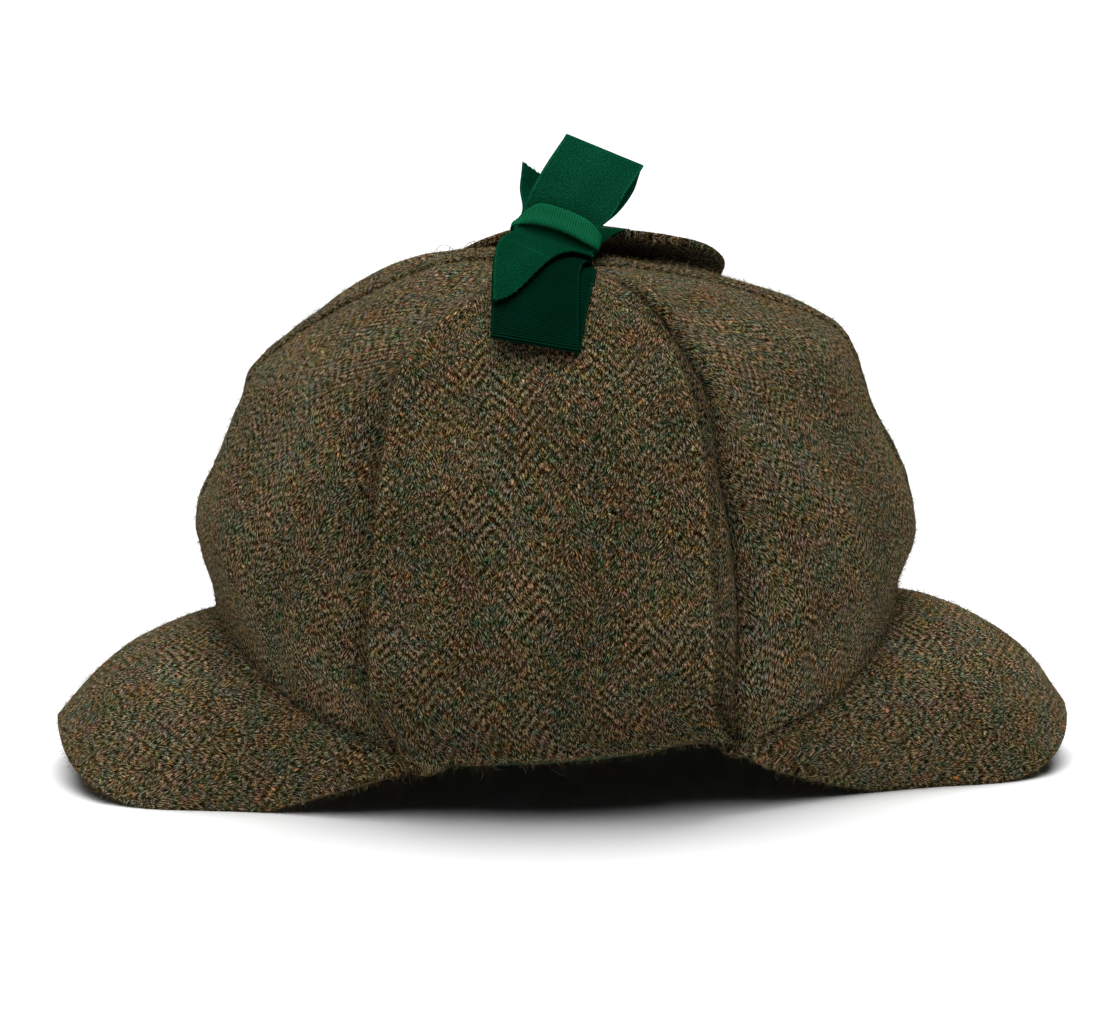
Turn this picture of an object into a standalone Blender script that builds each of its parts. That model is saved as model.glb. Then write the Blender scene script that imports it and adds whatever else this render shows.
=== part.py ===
"""A deerstalker hat standing on its two peaks, its ear flaps tied up over the crown by a ribbon bow.

The crown is six tweed gores sewn edge to edge, hollow and open below. A stiff peak is sewn to the rim in
front and another behind, an ear flap is turned up on each side, and a green band lines the rim.

Blender units are metres. +Z is up, -X is the front of the hat and -Y its left side. The origin is on the
surface that the hat stands on, under the middle of its length. The tables below are in millimetres and
degrees, from the middle of the crown.
"""

from math import acos, atan2, copysign, cos, degrees, dist, exp, hypot, pi, radians, sin

import bmesh
import bpy
from mathutils import Vector

MM = 0.001
CROWN_CENTRE = (-1.25, 0.0, 0.0)  # the back peak reaches farther than the front one

# Cloth and gaps.
GORE_CLOTH = 2.0
PEAK_CLOTH = 3.0
FLAP_CLOTH = 3.0
BAND_CLOTH = 1.2
RIBBON_CLOTH = 1.0
RIBBON_WIDTH = 26.5
SEAM_GAP = 0.5
REST_GAP = 0.5

# The crown. A section is a closed curve round the hat at one level from the rim (0) to the top (1): how far
# it reaches in front, behind and to the sides, and how high it runs there.
CROWN_COLUMNS = (
    "level", "front_reach", "front_height", "back_reach", "back_height", "side_reach", "side_height",
)
CROWN_SECTIONS = (
    (0.00, 104.5, 52.0, 102.5, 54.5, 82.0, 19.0),
    (0.08, 109.5, 63.0, 105.8, 63.5, 85.0, 35.0),
    (0.20, 112.5, 80.0, 109.4, 77.0, 87.5, 59.0),
    (0.33, 107.5, 98.0, 105.5, 94.0, 87.0, 84.0),
    (0.46, 99.0, 116.0, 95.5, 114.0, 81.5, 107.0),
    (0.57, 92.0, 128.0, 86.5, 136.0, 71.5, 127.0),
    (0.68, 71.0, 143.5, 64.0, 146.5, 54.0, 143.0),
    (0.84, 41.0, 157.0, 38.0, 153.5, 32.0, 154.5),
    (0.93, 19.0, 159.5, 18.0, 157.5, 15.0, 157.5),
    (1.00, 0.0, 157.0, 0.0, 157.0, 0.0, 157.0),
)
RIM_SWEEP = 3.0  # how late the rim climbs from the sides to the front and back
TIP_LEVEL = 0.985  # where the gores' tips end, under the bow

# The gores meet at these turns. "turn" is the angle round the hat from its back, counterclockwise seen
# from above. Each gore swells between its seams.
GORE_SEAMS = {
    "crown_back_right": (0.0, 60.0),
    "crown_side_right": (60.0, 120.0),
    "crown_front_right": (120.0, 180.0),
    "crown_front_left": (180.0, 240.0),
    "crown_side_left": (240.0, 297.0),
    "crown_back_left": (297.0, 360.0),
}
GORE_SWELL = 2.6
SWELL_RIM_LEVEL, SWELL_TOP_LEVEL = 0.2, 0.65
GORE_GRID = (8, 15)

# Folds in the crown's cloth: ridges (height above 0) and dents (below 0) that run from one place to another.
FOLD_COLUMNS = ("from_turn", "from_level", "to_turn", "to_level", "width", "height")
CROWN_FOLDS = {
    "left_front_ridge": (194.0, 0.50, 214.0, 0.10, 8.0, 3.0),
    "left_back_ridge": (300.5, 0.86, 303.5, 0.56, 6.0, 3.4),
    "left_back_dent": (297.0, 0.50, 297.0, 0.06, 6.0, -3.6),
    "left_front_dent": (238.0, 0.45, 239.0, 0.05, 6.0, -2.2),
    "right_front_ridge": (150.0, 0.60, 156.0, 0.15, 8.0, 2.6),
    "right_back_ridge": (34.0, 0.85, 40.0, 0.45, 9.0, 2.6),
    "right_back_dent": (61.0, 0.45, 59.0, 0.04, 6.0, -2.6),
    "front_dent": (176.0, 0.50, 183.0, 0.28, 9.0, -1.6),
    "back_dent": (2.0, 0.46, 357.0, 0.24, 9.0, -1.6),
}

# The peaks' outer edges, from the middle of a peak (turn 0 along the rim) to the end of its arm. Below the
# surface the edge is flattened, so each peak stands on two strips.
PEAK_COLUMNS = ("turn", "reach", "side", "height")
PEAK_EDGES = {
    "peak_front": (
        (0.0, 158.3, 0.0, 16.8),
        (8.0, 157.4, 12.0, 15.0),
        (15.0, 155.0, 24.0, 11.0),
        (22.0, 150.0, 35.5, 6.8),
        (28.0, 142.0, 45.0, 3.0),
        (34.0, 128.5, 51.5, -0.8),
        (40.0, 113.0, 54.5, -1.4),
        (46.0, 97.0, 57.5, -0.9),
        (52.0, 81.0, 63.5, 4.8),
        (57.0, 66.0, 70.0, 10.5),
        (62.0, 51.0, 75.5, 16.6),
        (66.0, 42.0, 77.5, 19.4),
    ),
    "peak_back": (
        (0.0, 160.8, 0.0, 15.5),
        (8.0, 159.6, 11.0, 13.0),
        (15.0, 156.5, 21.5, 8.8),
        (22.0, 150.5, 30.5, 4.6),
        (28.0, 141.0, 36.5, 1.0),
        (34.0, 128.5, 39.5, -1.1),
        (40.0, 115.0, 41.0, -1.5),
        (46.0, 100.5, 44.5, -1.1),
        (52.0, 86.0, 51.0, 2.2),
        (57.0, 71.0, 60.0, 7.6),
        (62.0, 54.0, 70.5, 14.6),
        (65.0, 45.0, 76.6, 18.4),
    ),
}
PEAK_CROWNING = {"peak_front": 6.5, "peak_back": 8.8}  # how far a peak arches above a straight line
PEAK_TUCK = (1.2, 0.6)  # the peak's seam lies this far in from and below the crown's rim
PEAK_GRID = (34, 6)

# The ear flaps, turned up. A flap's row lies at one rise, an angle up the crown's side from a line along
# the middle of the hat. The edges are where the row starts and ends along the hat.
HUB_HEIGHT = 67.0
FLAP_COLUMNS = ("rise", "front_edge", "back_edge", "lift")
FLAP_ROWS = {
    "ear_flap_left": (
        (-29.0, -52.0, 44.0, 0.0),
        (-22.0, -59.0, 38.5, 0.0),
        (-9.0, -59.5, 37.4, 0.5),
        (9.0, -57.8, 35.6, 1.0),
        (24.0, -55.8, 34.7, 1.2),
        (37.0, -53.3, 32.3, 0.8),
        (48.0, -50.0, 27.5, 0.5),
        (56.0, -42.0, 19.5, 0.3),
        (62.0, -29.0, 11.0, 0.2),
        (67.0, -19.0, 4.0, 0.0),
        (70.0, -12.0, -3.0, 0.0),
    ),
    "ear_flap_right": (
        (-29.0, -49.0, 50.0, 0.0),
        (-22.0, -54.0, 54.0, 0.0),
        (-9.0, -54.5, 54.0, 0.5),
        (9.0, -53.5, 53.5, 1.0),
        (24.0, -52.0, 53.0, 1.5),
        (37.0, -49.0, 52.0, 1.5),
        (48.0, -43.0, 51.5, 1.8),
        (58.0, -33.0, 52.0, 2.4),
        (66.0, -22.0, 52.0, 3.4),
        (72.0, -10.0, 47.0, 4.4),
        (77.0, 2.0, 38.0, 4.4),
        (81.0, 9.0, 24.0, 4.0),
    ),
}
FLAP_GRID = (14, 18)

# The lining band, inside the rim.
BAND_BELOW = 1.2
BAND_TOP_LEVEL = 0.16
BAND_GAP = 1.2
BAND_SIDES = 60

# The ribbon bow. The knot is a band round the ends of the loops and tails. It leans back, and its right
# end dips.
KNOT_CENTRE = (-1.8, -7.2, 168.9)
KNOT_DIP, KNOT_SWING, KNOT_LEAN = 21.0, 4.0, 30.0
KNOT_HALF_OPENING = (13.6, 3.55)
KNOT_LENGTH = 7.8
KNOT_SQUARENESS = 6.0
KNOT_SIDES = 28
KNOT_SQUEEZE = 0.9  # the ribbon's width inside the knot, against its full width
LAYER_STEP = 1.3  # from one layer of ribbon to the next
# Where each ribbon's ends lie in the knot: the side where they come out, 1 above and -1 below, and their
# layers, counted from the knot's middle towards its face. The front tail lies outside the lower loop.
KNOT_LAYERS = {
    "bow_loop_upper": (1, 0.45, -0.45),
    "bow_loop_lower": (-1, 0.45, -0.45),
    "bow_tail_back": (1, -1.5),
}
TAIL_ROWS = 9  # the front tail lies on the lower loop's face, along this many rows of its path
TAIL_LIFT = (1.65, 2.5)  # in the knot and at its end

# A ribbon's path outside the knot is a row for each place along its middle. Its width runs along the hat,
# dipping towards the back by "dip" and swinging round by "swing". The width column, a share of the ribbon's
# width, is added when the path is put together.
RIBBON_COLUMNS = ("x", "y", "z", "dip", "swing", "width")
RIBBONS = {
    "bow_loop_upper": (
        (3.6, -3.0, 177.9, 21.0, 4.0),
        (8.2, 2.2, 184.4, 22.0, 4.0),
        (13.9, 9.6, 191.1, 23.0, 4.6),
        (14.4, 10.9, 191.7, 23.0, 4.6),
        (13.6, 11.4, 190.2, 23.0, 4.6),
        (10.9, 8.3, 183.8, 22.0, 4.0),
        (5.6, 2.8, 177.8, 21.0, 4.0),
    ),
    "bow_loop_lower": (
        (-3.9, -14.4, 164.2, 18.5, 2.0),
        (-4.9, -19.0, 164.6, 16.5, 1.0),
        (-7.2, -27.0, 165.2, 13.0, 0.0),
        (-9.6, -38.0, 163.9, 11.0, 0.0),
        (-10.9, -48.0, 160.1, 10.5, 0.0),
        (-11.7, -58.0, 154.8, 10.5, 0.0),
        (-12.2, -65.6, 149.6, 10.5, 0.0),
        (-12.6, -70.3, 145.1, 10.5, 0.0),
        (-12.5, -70.5, 143.8, 10.5, 0.0),
        (-12.3, -69.0, 143.7, 10.5, 0.0),
        (-10.8, -63.6, 148.0, 10.5, 0.0),
        (-9.2, -56.0, 153.0, 11.0, 0.0),
        (-7.4, -48.0, 157.3, 11.0, 0.0),
        (-5.6, -40.0, 160.8, 11.0, 0.0),
        (-4.4, -32.0, 162.3, 12.0, 0.0),
        (-3.9, -23.0, 161.9, 13.0, 0.0),
        (-3.7, -16.0, 162.5, 16.5, 1.0),
        (-3.5, -12.0, 163.1, 19.0, 3.0),
    ),
    "bow_tail_back": (
        (-0.3, 2.6, 176.3, 21.0, 4.0),
        (0.3, 5.4, 180.4, 21.0, 4.0),
        (0.9, 8.2, 184.2, 21.0, 4.0),
    ),
    "ribbon_tie_left": (
        (-7.0, -11.5, 159.7, 4.0, 0.0),
        (-8.0, -20.0, 159.0, 3.0, 0.0),
        (-8.5, -28.0, 158.8, 2.0, 0.0),
        (-9.0, -35.0, 160.1, 1.0, 0.0),
        (-9.0, -42.0, 157.6, 1.0, 0.0),
    ),
    "ribbon_tie_right": (
        (3.5, 1.4, 162.5, 8.0, -14.0),
        (7.0, 6.4, 164.2, 6.0, -20.0),
        (10.5, 11.2, 166.0, 5.0, -24.0),
        (14.0, 16.5, 166.6, 4.0, -26.0),
        (17.0, 22.0, 166.2, 4.0, -26.0),
    ),
}
RIBBON_FOLDED = {"ribbon_tie_left": 0.5, "ribbon_tie_right": 0.5}  # folded lengthwise to this share
# A tail is cut at a slant: how much of its path its two edges reach, and how late the slant starts.
CUTS = {"bow_tail_front": (0.95, 0.31, 1.6), "bow_tail_back": (1.0, 0.5, 1.0)}
RIBBON_GRID = {"bow_loop_upper": 30, "bow_loop_lower": 40, "bow_tail_front": 16, "bow_tail_back": 10}
RIBBON_GRID_SHORT = 8
RIBBON_STRIPS = 4

# Fabric and ribbon colours, linear RGB.
TWEED = (0.070, 0.052, 0.030, 1.0)
RIBBON_GREEN = (0.004, 0.075, 0.030, 1.0)


def curve_through(rows, at):
    """The row at one value of the first column, on a smooth curve through all the rows."""
    last = len(rows) - 1
    step = next((i for i in range(last) if at <= rows[i + 1][0]), last - 1)
    before, low, high, after = rows[max(step - 1, 0)], rows[step], rows[step + 1], rows[min(step + 2, last)]
    span = high[0] - low[0]
    t = min(max((at - low[0]) / span, 0.0), 1.0)
    values = []
    for p0, p1, p2, p3 in zip(before, low, high, after):
        start = (p2 - p0) / (high[0] - before[0]) * span
        end = (p3 - p1) / (after[0] - low[0]) * span
        values.append(
            p1 * (2 * t**3 - 3 * t**2 + 1)
            + start * (t**3 - 2 * t**2 + t)
            + p2 * (3 * t**2 - 2 * t**3)
            + end * (t**3 - t**2)
        )
    return values


def crown_section(level):
    return dict(zip(CROWN_COLUMNS, curve_through(CROWN_SECTIONS, level)))


def smooth_crown(turn, level):
    """A point of the crown's outer surface without swell or folds."""
    row = crown_section(level)
    c, s = cos(radians(turn)), sin(radians(turn))
    end = "back" if c > 0 else "front"
    height = row["side_height"] + (row[end + "_height"] - row["side_height"]) * abs(c) ** RIM_SWEEP
    return Vector((row[end + "_reach"] * c, row["side_reach"] * s, height))


def crown_normal(turn, level):
    level = min(level, 0.97)
    step = 0.01
    low, high = max(level - step, 0.0), level + step
    across = smooth_crown(turn + 1.0, level) - smooth_crown(turn - 1.0, level)
    upward = smooth_crown(turn, high) - smooth_crown(turn, low)
    return across.cross(upward).normalized()


def swell_fade(level):
    """How much of the swell is left near the rim and near the top."""
    return min(1.0, level / SWELL_RIM_LEVEL) * min(1.0, (1.0 - level) / (1.0 - SWELL_TOP_LEVEL))


def gore_swell(turn, level):
    """0 on a seam, most in the middle of a gore."""
    turn %= 360.0
    start, end = next(seams for seams in GORE_SEAMS.values() if seams[0] <= turn <= seams[1])
    return GORE_SWELL * sin(pi * (turn - start) / (end - start)) * swell_fade(level)


def fold_height(turn, level):
    total = 0.0
    for row in CROWN_FOLDS.values():
        fold = dict(zip(FOLD_COLUMNS, row))
        run = (fold["to_level"] - fold["from_level"]) * 100.0
        lean = fold["to_turn"] - fold["from_turn"]
        away = (turn - fold["from_turn"] + 180.0) % 360.0 - 180.0
        up = (level - fold["from_level"]) * 100.0
        along = (away * lean + up * run) / (lean**2 + run**2)
        aside = hypot(away - min(max(along, 0.0), 1.0) * lean, up - min(max(along, 0.0), 1.0) * run)
        ends = sin(pi * min(max(along * 0.8 + 0.1, 0.0), 1.0))
        total += fold["height"] * exp(-((aside / fold["width"]) ** 2)) * ends
    return total


def crown_point(turn, level):
    relief = gore_swell(turn, level) + fold_height(turn, level)
    return smooth_crown(turn, level) + crown_normal(turn, level) * relief


def clean_scene():
    for obj in list(bpy.data.objects):
        bpy.data.objects.remove(obj, do_unlink=True)
    for collection in list(bpy.data.collections):
        bpy.data.collections.remove(collection)


def new_collection(name):
    collection = bpy.data.collections.new(name)
    bpy.context.scene.collection.children.link(collection)
    return collection


def fabric(name, colour, roughness):
    material = bpy.data.materials.new(name)
    material.use_nodes = True
    shader = material.node_tree.nodes["Principled BSDF"]
    shader.inputs["Base Color"].default_value = colour
    shader.inputs["Roughness"].default_value = roughness
    shader.inputs["Metallic"].default_value = 0.0
    return material


def between(low, high, count):
    return [low + (high - low) * i / count for i in range(count + 1)]


def cloth(name, point, across, along, thickness, collection, material, closed=False, side=-1.0):
    """A grid of point(a, b), made a wall by Solidify; side -1 thickens it away from its normals."""
    mesh = bpy.data.meshes.new(name)
    grid = bmesh.new()
    rows = [[grid.verts.new((point(a, b) + Vector(CROWN_CENTRE)) * MM) for a in across] for b in along]
    columns = len(across)
    for low, high in zip(rows, rows[1:]):
        for i in range(columns if closed else columns - 1):
            j = (i + 1) % columns
            grid.faces.new((low[i], low[j], high[j], high[i]))
    grid.to_mesh(mesh)
    grid.free()
    obj = bpy.data.objects.new(name, mesh)
    collection.objects.link(obj)
    mesh.materials.append(material)
    mesh.shade_smooth()
    wall = obj.modifiers.new("wall", "SOLIDIFY")
    wall.thickness = thickness * MM
    wall.offset = side
    return obj


def make_gore(name, collection, material):
    start, end = GORE_SEAMS[name]

    def point(share, level):
        radius = hypot(*smooth_crown((start + end) / 2, level)[:2])
        margin = degrees(SEAM_GAP / 2 / radius)
        return crown_point(start + margin + share * (end - start - 2 * margin), level)

    across = between(0.0, 1.0, GORE_GRID[0])
    along = between(0.0, TIP_LEVEL, GORE_GRID[1])
    cloth(name, point, across, along, GORE_CLOTH, collection, material)


def peak_point(name, turn, out):
    """A point of a peak's upper side: turn along the rim, out from the rim (0) to the peak's edge (1)."""
    facing = 180.0 if name == "peak_front" else 0.0
    forward = -1.0 if name == "peak_front" else 1.0
    seam = smooth_crown(facing + turn, 0.0)
    outward = Vector((cos(radians(facing + turn)), sin(radians(facing + turn)), 0.0))
    seam -= outward * PEAK_TUCK[0] + Vector((0.0, 0.0, PEAK_TUCK[1]))
    row = dict(zip(PEAK_COLUMNS, curve_through(PEAK_EDGES[name], abs(turn))))
    left = 1.0 if (turn > 0) == (name == "peak_front") else -1.0
    edge = Vector((forward * row["reach"], -left * row["side"], row["height"]))
    chord = edge - seam
    lift = PEAK_CROWNING[name] * sin(pi * out) * min(1.0, chord.length / 60.0)
    return seam + chord * out + (outward * 0.55 + Vector((0.0, 0.0, 0.85))) * lift


def floor_cutter(collection):
    bpy.ops.mesh.primitive_cube_add(size=1.0, location=(0.0, 0.0, -0.025))
    cutter = bpy.context.object
    cutter.name = "floor_cutter"
    cutter.scale = (0.6, 0.4, 0.05)
    bpy.ops.object.transform_apply(location=True, rotation=False, scale=True)
    for owner in list(cutter.users_collection):
        owner.objects.unlink(cutter)
    collection.objects.link(cutter)
    cutter.hide_render = True
    cutter.display_type = "WIRE"
    return cutter


def make_peak(name, cutter, collection, material):
    arm = PEAK_EDGES[name][-1][0]

    def point(turn, out):
        return peak_point(name, turn, out)

    across = between(-arm, arm, PEAK_GRID[0])
    along = between(1.0, 0.0, PEAK_GRID[1])
    peak = cloth(name, point, across, along, PEAK_CLOTH, collection, material)
    rest = peak.modifiers.new("flattened where it rests", "BOOLEAN")
    rest.object = cutter
    rest.operation = "DIFFERENCE"
    return peak


def place_on_side(x, rise, side):
    """The turn and level of the crown's point at x whose ray from the hub line climbs at the angle rise."""
    low, high = 0.0, 1.0
    for _ in range(40):
        level = (low + high) / 2
        row = crown_section(level)
        reach = row["back_reach"] if x > 0 else row["front_reach"]
        if abs(x) >= reach:
            high = level
            continue
        turn = degrees(acos(x / reach)) * side
        found = smooth_crown(turn, level)
        if degrees(atan2(found.z - HUB_HEIGHT, abs(found.y))) > rise:
            high = level
        else:
            low = level
    row = crown_section(low)
    reach = row["back_reach"] if x > 0 else row["front_reach"]
    return degrees(acos(min(max(x / reach, -1.0), 1.0))) * side, low


def flap_point(name, share, rise):
    side = -1.0 if name == "ear_flap_left" else 1.0
    row = dict(zip(FLAP_COLUMNS, curve_through(FLAP_ROWS[name], rise)))
    x = row["front_edge"] + (row["back_edge"] - row["front_edge"]) * share
    turn, level = place_on_side(x, rise, side)
    clear = GORE_SWELL * swell_fade(level) + REST_GAP + row["lift"]
    return smooth_crown(turn, level) + crown_normal(turn, level) * clear


def make_flap(name, collection, material):
    lowest, highest = FLAP_ROWS[name][0][0], FLAP_ROWS[name][-1][0]

    def point(share, rise):
        return flap_point(name, share, rise)

    across = between(0.0, 1.0, FLAP_GRID[0])
    along = between(lowest, highest, FLAP_GRID[1])
    if name == "ear_flap_right":
        across.reverse()
    return cloth(name, point, across, along, FLAP_CLOTH, collection, material, side=1.0)


def make_band(collection, material):
    def point(turn, level):
        shown = max(level, 0.0)
        inward = crown_normal(turn, shown) * (GORE_CLOTH + BAND_GAP)
        drop = Vector((0.0, 0.0, BAND_BELOW if level < 0.0 else 0.0))
        return crown_point(turn, shown) - inward - drop

    across = [360.0 * i / BAND_SIDES for i in range(BAND_SIDES)]
    along = [-1.0, 0.02, BAND_TOP_LEVEL / 2, BAND_TOP_LEVEL]
    cloth("lining_band", point, across, along, BAND_CLOTH, collection, material, closed=True)


def width_direction(dip, swing):
    dip, swing = radians(dip), radians(swing)
    return Vector((cos(swing) * cos(dip), sin(swing) * cos(dip), -sin(dip)))


def knot_axes():
    """Unit vectors along the knot's band, out of its face and up through it."""
    across = width_direction(KNOT_DIP, KNOT_SWING)
    leaning = Vector((0.0, sin(radians(KNOT_LEAN)), cos(radians(KNOT_LEAN))))
    up = (leaning - across * leaning.dot(across)).normalized()
    return across, across.cross(up), up


def make_knot(collection, material):
    across, facing, up = knot_axes()
    half_width, half_depth = KNOT_HALF_OPENING
    power = 2.0 / KNOT_SQUARENESS

    def point(angle, along):
        c, s = cos(radians(angle)), sin(radians(angle))
        wide = copysign(half_width * abs(c) ** power, c)
        deep = copysign(half_depth * abs(s) ** power, s)
        return Vector(KNOT_CENTRE) + across * wide + facing * deep + up * along

    around = [360.0 * (i + 0.5) / KNOT_SIDES for i in range(KNOT_SIDES)]
    ends = between(-KNOT_LENGTH / 2, KNOT_LENGTH / 2, 2)
    cloth("bow_knot", point, around, ends, RIBBON_CLOTH, collection, material, closed=True)


def rows_in_knot(layer, way):
    """A path's rows from the middle of the knot out of its mouth."""
    across, facing, up = knot_axes()
    for along in (0.6, KNOT_LENGTH / 2 + 0.6):
        place = Vector(KNOT_CENTRE) + facing * layer * LAYER_STEP + up * along * way
        yield (*place, KNOT_DIP, KNOT_SWING, KNOT_SQUEEZE)


def ribbon_path(name):
    """The rows of a ribbon's path, with their distances along it first."""
    way, *layers = KNOT_LAYERS.get(name, (0,))
    rows = [(*row, RIBBON_FOLDED.get(name, 1.0)) for row in RIBBONS[name]]
    if layers:
        rows = list(rows_in_knot(layers[0], way)) + rows
    if len(layers) > 1:
        rows += reversed(list(rows_in_knot(layers[1], way)))
    path = [(0.0, *rows[0])]
    for row in rows[1:]:
        path.append((path[-1][0] + dist(path[-1][1:4], row[:3]), *row))
    return path


def ribbon_point(path, along, aside):
    """A point of a ribbon: along its path (0 to 1) and aside from its middle (-0.5 to 0.5 of its width)."""
    place = along * (len(path) - 1)
    step = min(int(place), len(path) - 2)
    distance = path[step][0] + (path[step + 1][0] - path[step][0]) * (place - step)
    row = dict(zip(RIBBON_COLUMNS, curve_through(path, distance)[1:]))
    width = width_direction(row["dip"], row["swing"]) * row["width"] * RIBBON_WIDTH
    return Vector((row["x"], row["y"], row["z"])) + width * aside


def make_ribbon(name, collection, material):
    on_loop = name == "bow_tail_front"
    path = ribbon_path("bow_loop_lower")[:TAIL_ROWS] if on_loop else ribbon_path(name)
    left, right, late = CUTS.get(name, (1.0, 1.0, 1.0))

    def point(aside, along):
        along *= left + (right - left) * (aside + 0.5) ** late
        place = ribbon_point(path, along, aside)
        if not on_loop:
            return place
        onward = ribbon_point(path, along + 0.01, aside) - ribbon_point(path, along - 0.01, aside)
        across = ribbon_point(path, along, 0.5) - ribbon_point(path, along, -0.5)
        lift = TAIL_LIFT[0] + (TAIL_LIFT[1] - TAIL_LIFT[0]) * along
        return place + onward.cross(across).normalized() * lift

    across = between(-0.5, 0.5, RIBBON_STRIPS)
    along = between(0.0, 1.0, RIBBON_GRID.get(name, RIBBON_GRID_SHORT))
    cloth(name, point, across, along, RIBBON_CLOTH, collection, material, side=0.0)


def main():
    clean_scene()
    hat = new_collection("deerstalker_hat")
    cutters = new_collection("cutters")
    tweed = fabric("tweed", TWEED, 0.95)
    green = fabric("green_ribbon", RIBBON_GREEN, 0.7)
    for name in GORE_SEAMS:
        make_gore(name, hat, tweed)
    cutter = floor_cutter(cutters)
    for name in PEAK_EDGES:
        make_peak(name, cutter, hat, tweed)
    for name in FLAP_ROWS:
        make_flap(name, hat, tweed)
    make_band(hat, green)
    make_knot(hat, green)
    for name in (*RIBBONS, "bow_tail_front"):
        make_ribbon(name, hat, green)


main()
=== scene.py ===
"""The looks of the deerstalker hat: herringbone tweed, a grosgrain ribbon bow, wool fuzz and loose threads.

Every cloth piece is a closed shell round the middle of its cloth, on the same surfaces as the part's source,
whose functions and tables are repeated here in millimetres and degrees. Each shell has a map named "cloth"
that holds its places on the flat cloth in millimetres, so that the weave keeps its real size, and a map named
"seam" that holds how far each place is from a seam and how much painted shade the cloth takes there.
"""

import bpy
import numpy as np
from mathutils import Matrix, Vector


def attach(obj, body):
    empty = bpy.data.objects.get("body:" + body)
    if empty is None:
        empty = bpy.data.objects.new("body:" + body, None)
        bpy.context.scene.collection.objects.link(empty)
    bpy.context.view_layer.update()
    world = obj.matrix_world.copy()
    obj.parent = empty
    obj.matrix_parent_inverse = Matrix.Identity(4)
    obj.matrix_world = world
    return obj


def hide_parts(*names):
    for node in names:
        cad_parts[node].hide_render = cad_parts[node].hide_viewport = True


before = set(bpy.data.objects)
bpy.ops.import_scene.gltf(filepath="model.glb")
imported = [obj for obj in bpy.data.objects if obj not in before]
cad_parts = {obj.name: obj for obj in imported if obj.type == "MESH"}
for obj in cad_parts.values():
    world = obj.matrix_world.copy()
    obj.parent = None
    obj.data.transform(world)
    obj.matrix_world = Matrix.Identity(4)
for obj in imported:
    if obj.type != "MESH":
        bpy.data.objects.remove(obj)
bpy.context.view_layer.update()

MM = 0.001
CROWN_CENTRE = np.array((-1.25, 0.0, 0.0))

# Cloth.
GORE_CLOTH = 2.0
PEAK_CLOTH = 3.0
FLAP_CLOTH = 3.0
BAND_CLOTH = 1.0
RIBBON_CLOTH = 0.55
RIBBON_WIDTH = 26.5

# The crown.
CROWN_SECTIONS = (
    # level, front reach and height, back reach and height, side reach and height
    (0.00, 104.5, 52.0, 102.5, 54.5, 82.0, 19.0),
    (0.08, 109.5, 63.0, 105.8, 63.5, 85.0, 35.0),
    (0.20, 112.5, 80.0, 109.4, 77.0, 87.5, 59.0),
    (0.33, 107.5, 98.0, 105.5, 94.0, 87.0, 84.0),
    (0.46, 99.0, 116.0, 95.5, 114.0, 81.5, 107.0),
    (0.57, 92.0, 128.0, 86.5, 136.0, 71.5, 127.0),
    (0.68, 71.0, 143.5, 64.0, 146.5, 54.0, 143.0),
    (0.84, 41.0, 157.0, 38.0, 153.5, 32.0, 154.5),
    (0.93, 19.0, 159.5, 18.0, 157.5, 15.0, 157.5),
    (1.00, 0.0, 157.0, 0.0, 157.0, 0.0, 157.0),
)
RIM_SWEEP = 3.0  # how late the rim climbs from the sides to the front and back
WIDEST_LEVEL = 0.2
TIP_LEVEL = 0.997  # where the gores' tips end, under the bow
GORE_SEAMS = {
    "crown_back_right": (0.0, 60.0),
    "crown_side_right": (60.0, 120.0),
    "crown_front_right": (120.0, 180.0),
    "crown_front_left": (180.0, 240.0),
    "crown_side_left": (240.0, 297.0),
    "crown_back_left": (297.0, 360.0),
}
GORE_SWELL = 2.6
SWELL_RIM_LEVEL, SWELL_TOP_LEVEL = 0.2, 0.65
FOLD_LEVELS = 100.0  # along a fold, a hundredth of a level counts as much as one degree of turn
FOLD_SINE = (0.1, 0.8)  # a fold fades in and out like a half sine wave, over this start and length of it
CROWN_FOLDS = (
    # from turn and level, to turn and level, width, height
    (194.0, 0.50, 214.0, 0.10, 8.0, 3.0),
    (300.5, 0.86, 303.5, 0.56, 6.0, 3.4),
    (297.0, 0.50, 297.0, 0.06, 6.0, -3.6),
    (238.0, 0.45, 239.0, 0.05, 6.0, -2.2),
    (150.0, 0.60, 156.0, 0.15, 8.0, 2.6),
    (34.0, 0.85, 40.0, 0.45, 9.0, 2.6),
    (61.0, 0.45, 59.0, 0.04, 6.0, -2.6),
    (176.0, 0.50, 183.0, 0.28, 9.0, -1.6),
    (2.0, 0.46, 357.0, 0.24, 9.0, -1.6),
)
# Small folds that only the looks have, in the same columns.
SMALL_FOLDS = (
    (186.0, 0.62, 196.0, 0.30, 3.0, 0.9),
    (207.0, 0.40, 216.0, 0.08, 3.5, -0.9),
    (222.0, 0.50, 226.0, 0.10, 4.0, 0.8),
    (322.0, 0.52, 330.0, 0.12, 5.0, -0.8),
    (343.0, 0.50, 337.0, 0.16, 5.0, 0.8),
    (98.0, 0.62, 88.0, 0.20, 6.0, 0.9),
    (20.0, 0.55, 26.0, 0.15, 5.0, -0.9),
    (296.6, 0.66, 296.9, 0.02, 1.7, -2.4),
    (301.0, 0.62, 300.5, 0.06, 3.2, 1.3),
    (118.0, 0.94, 166.0, 0.72, 9.0, 3.2),
)

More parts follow.
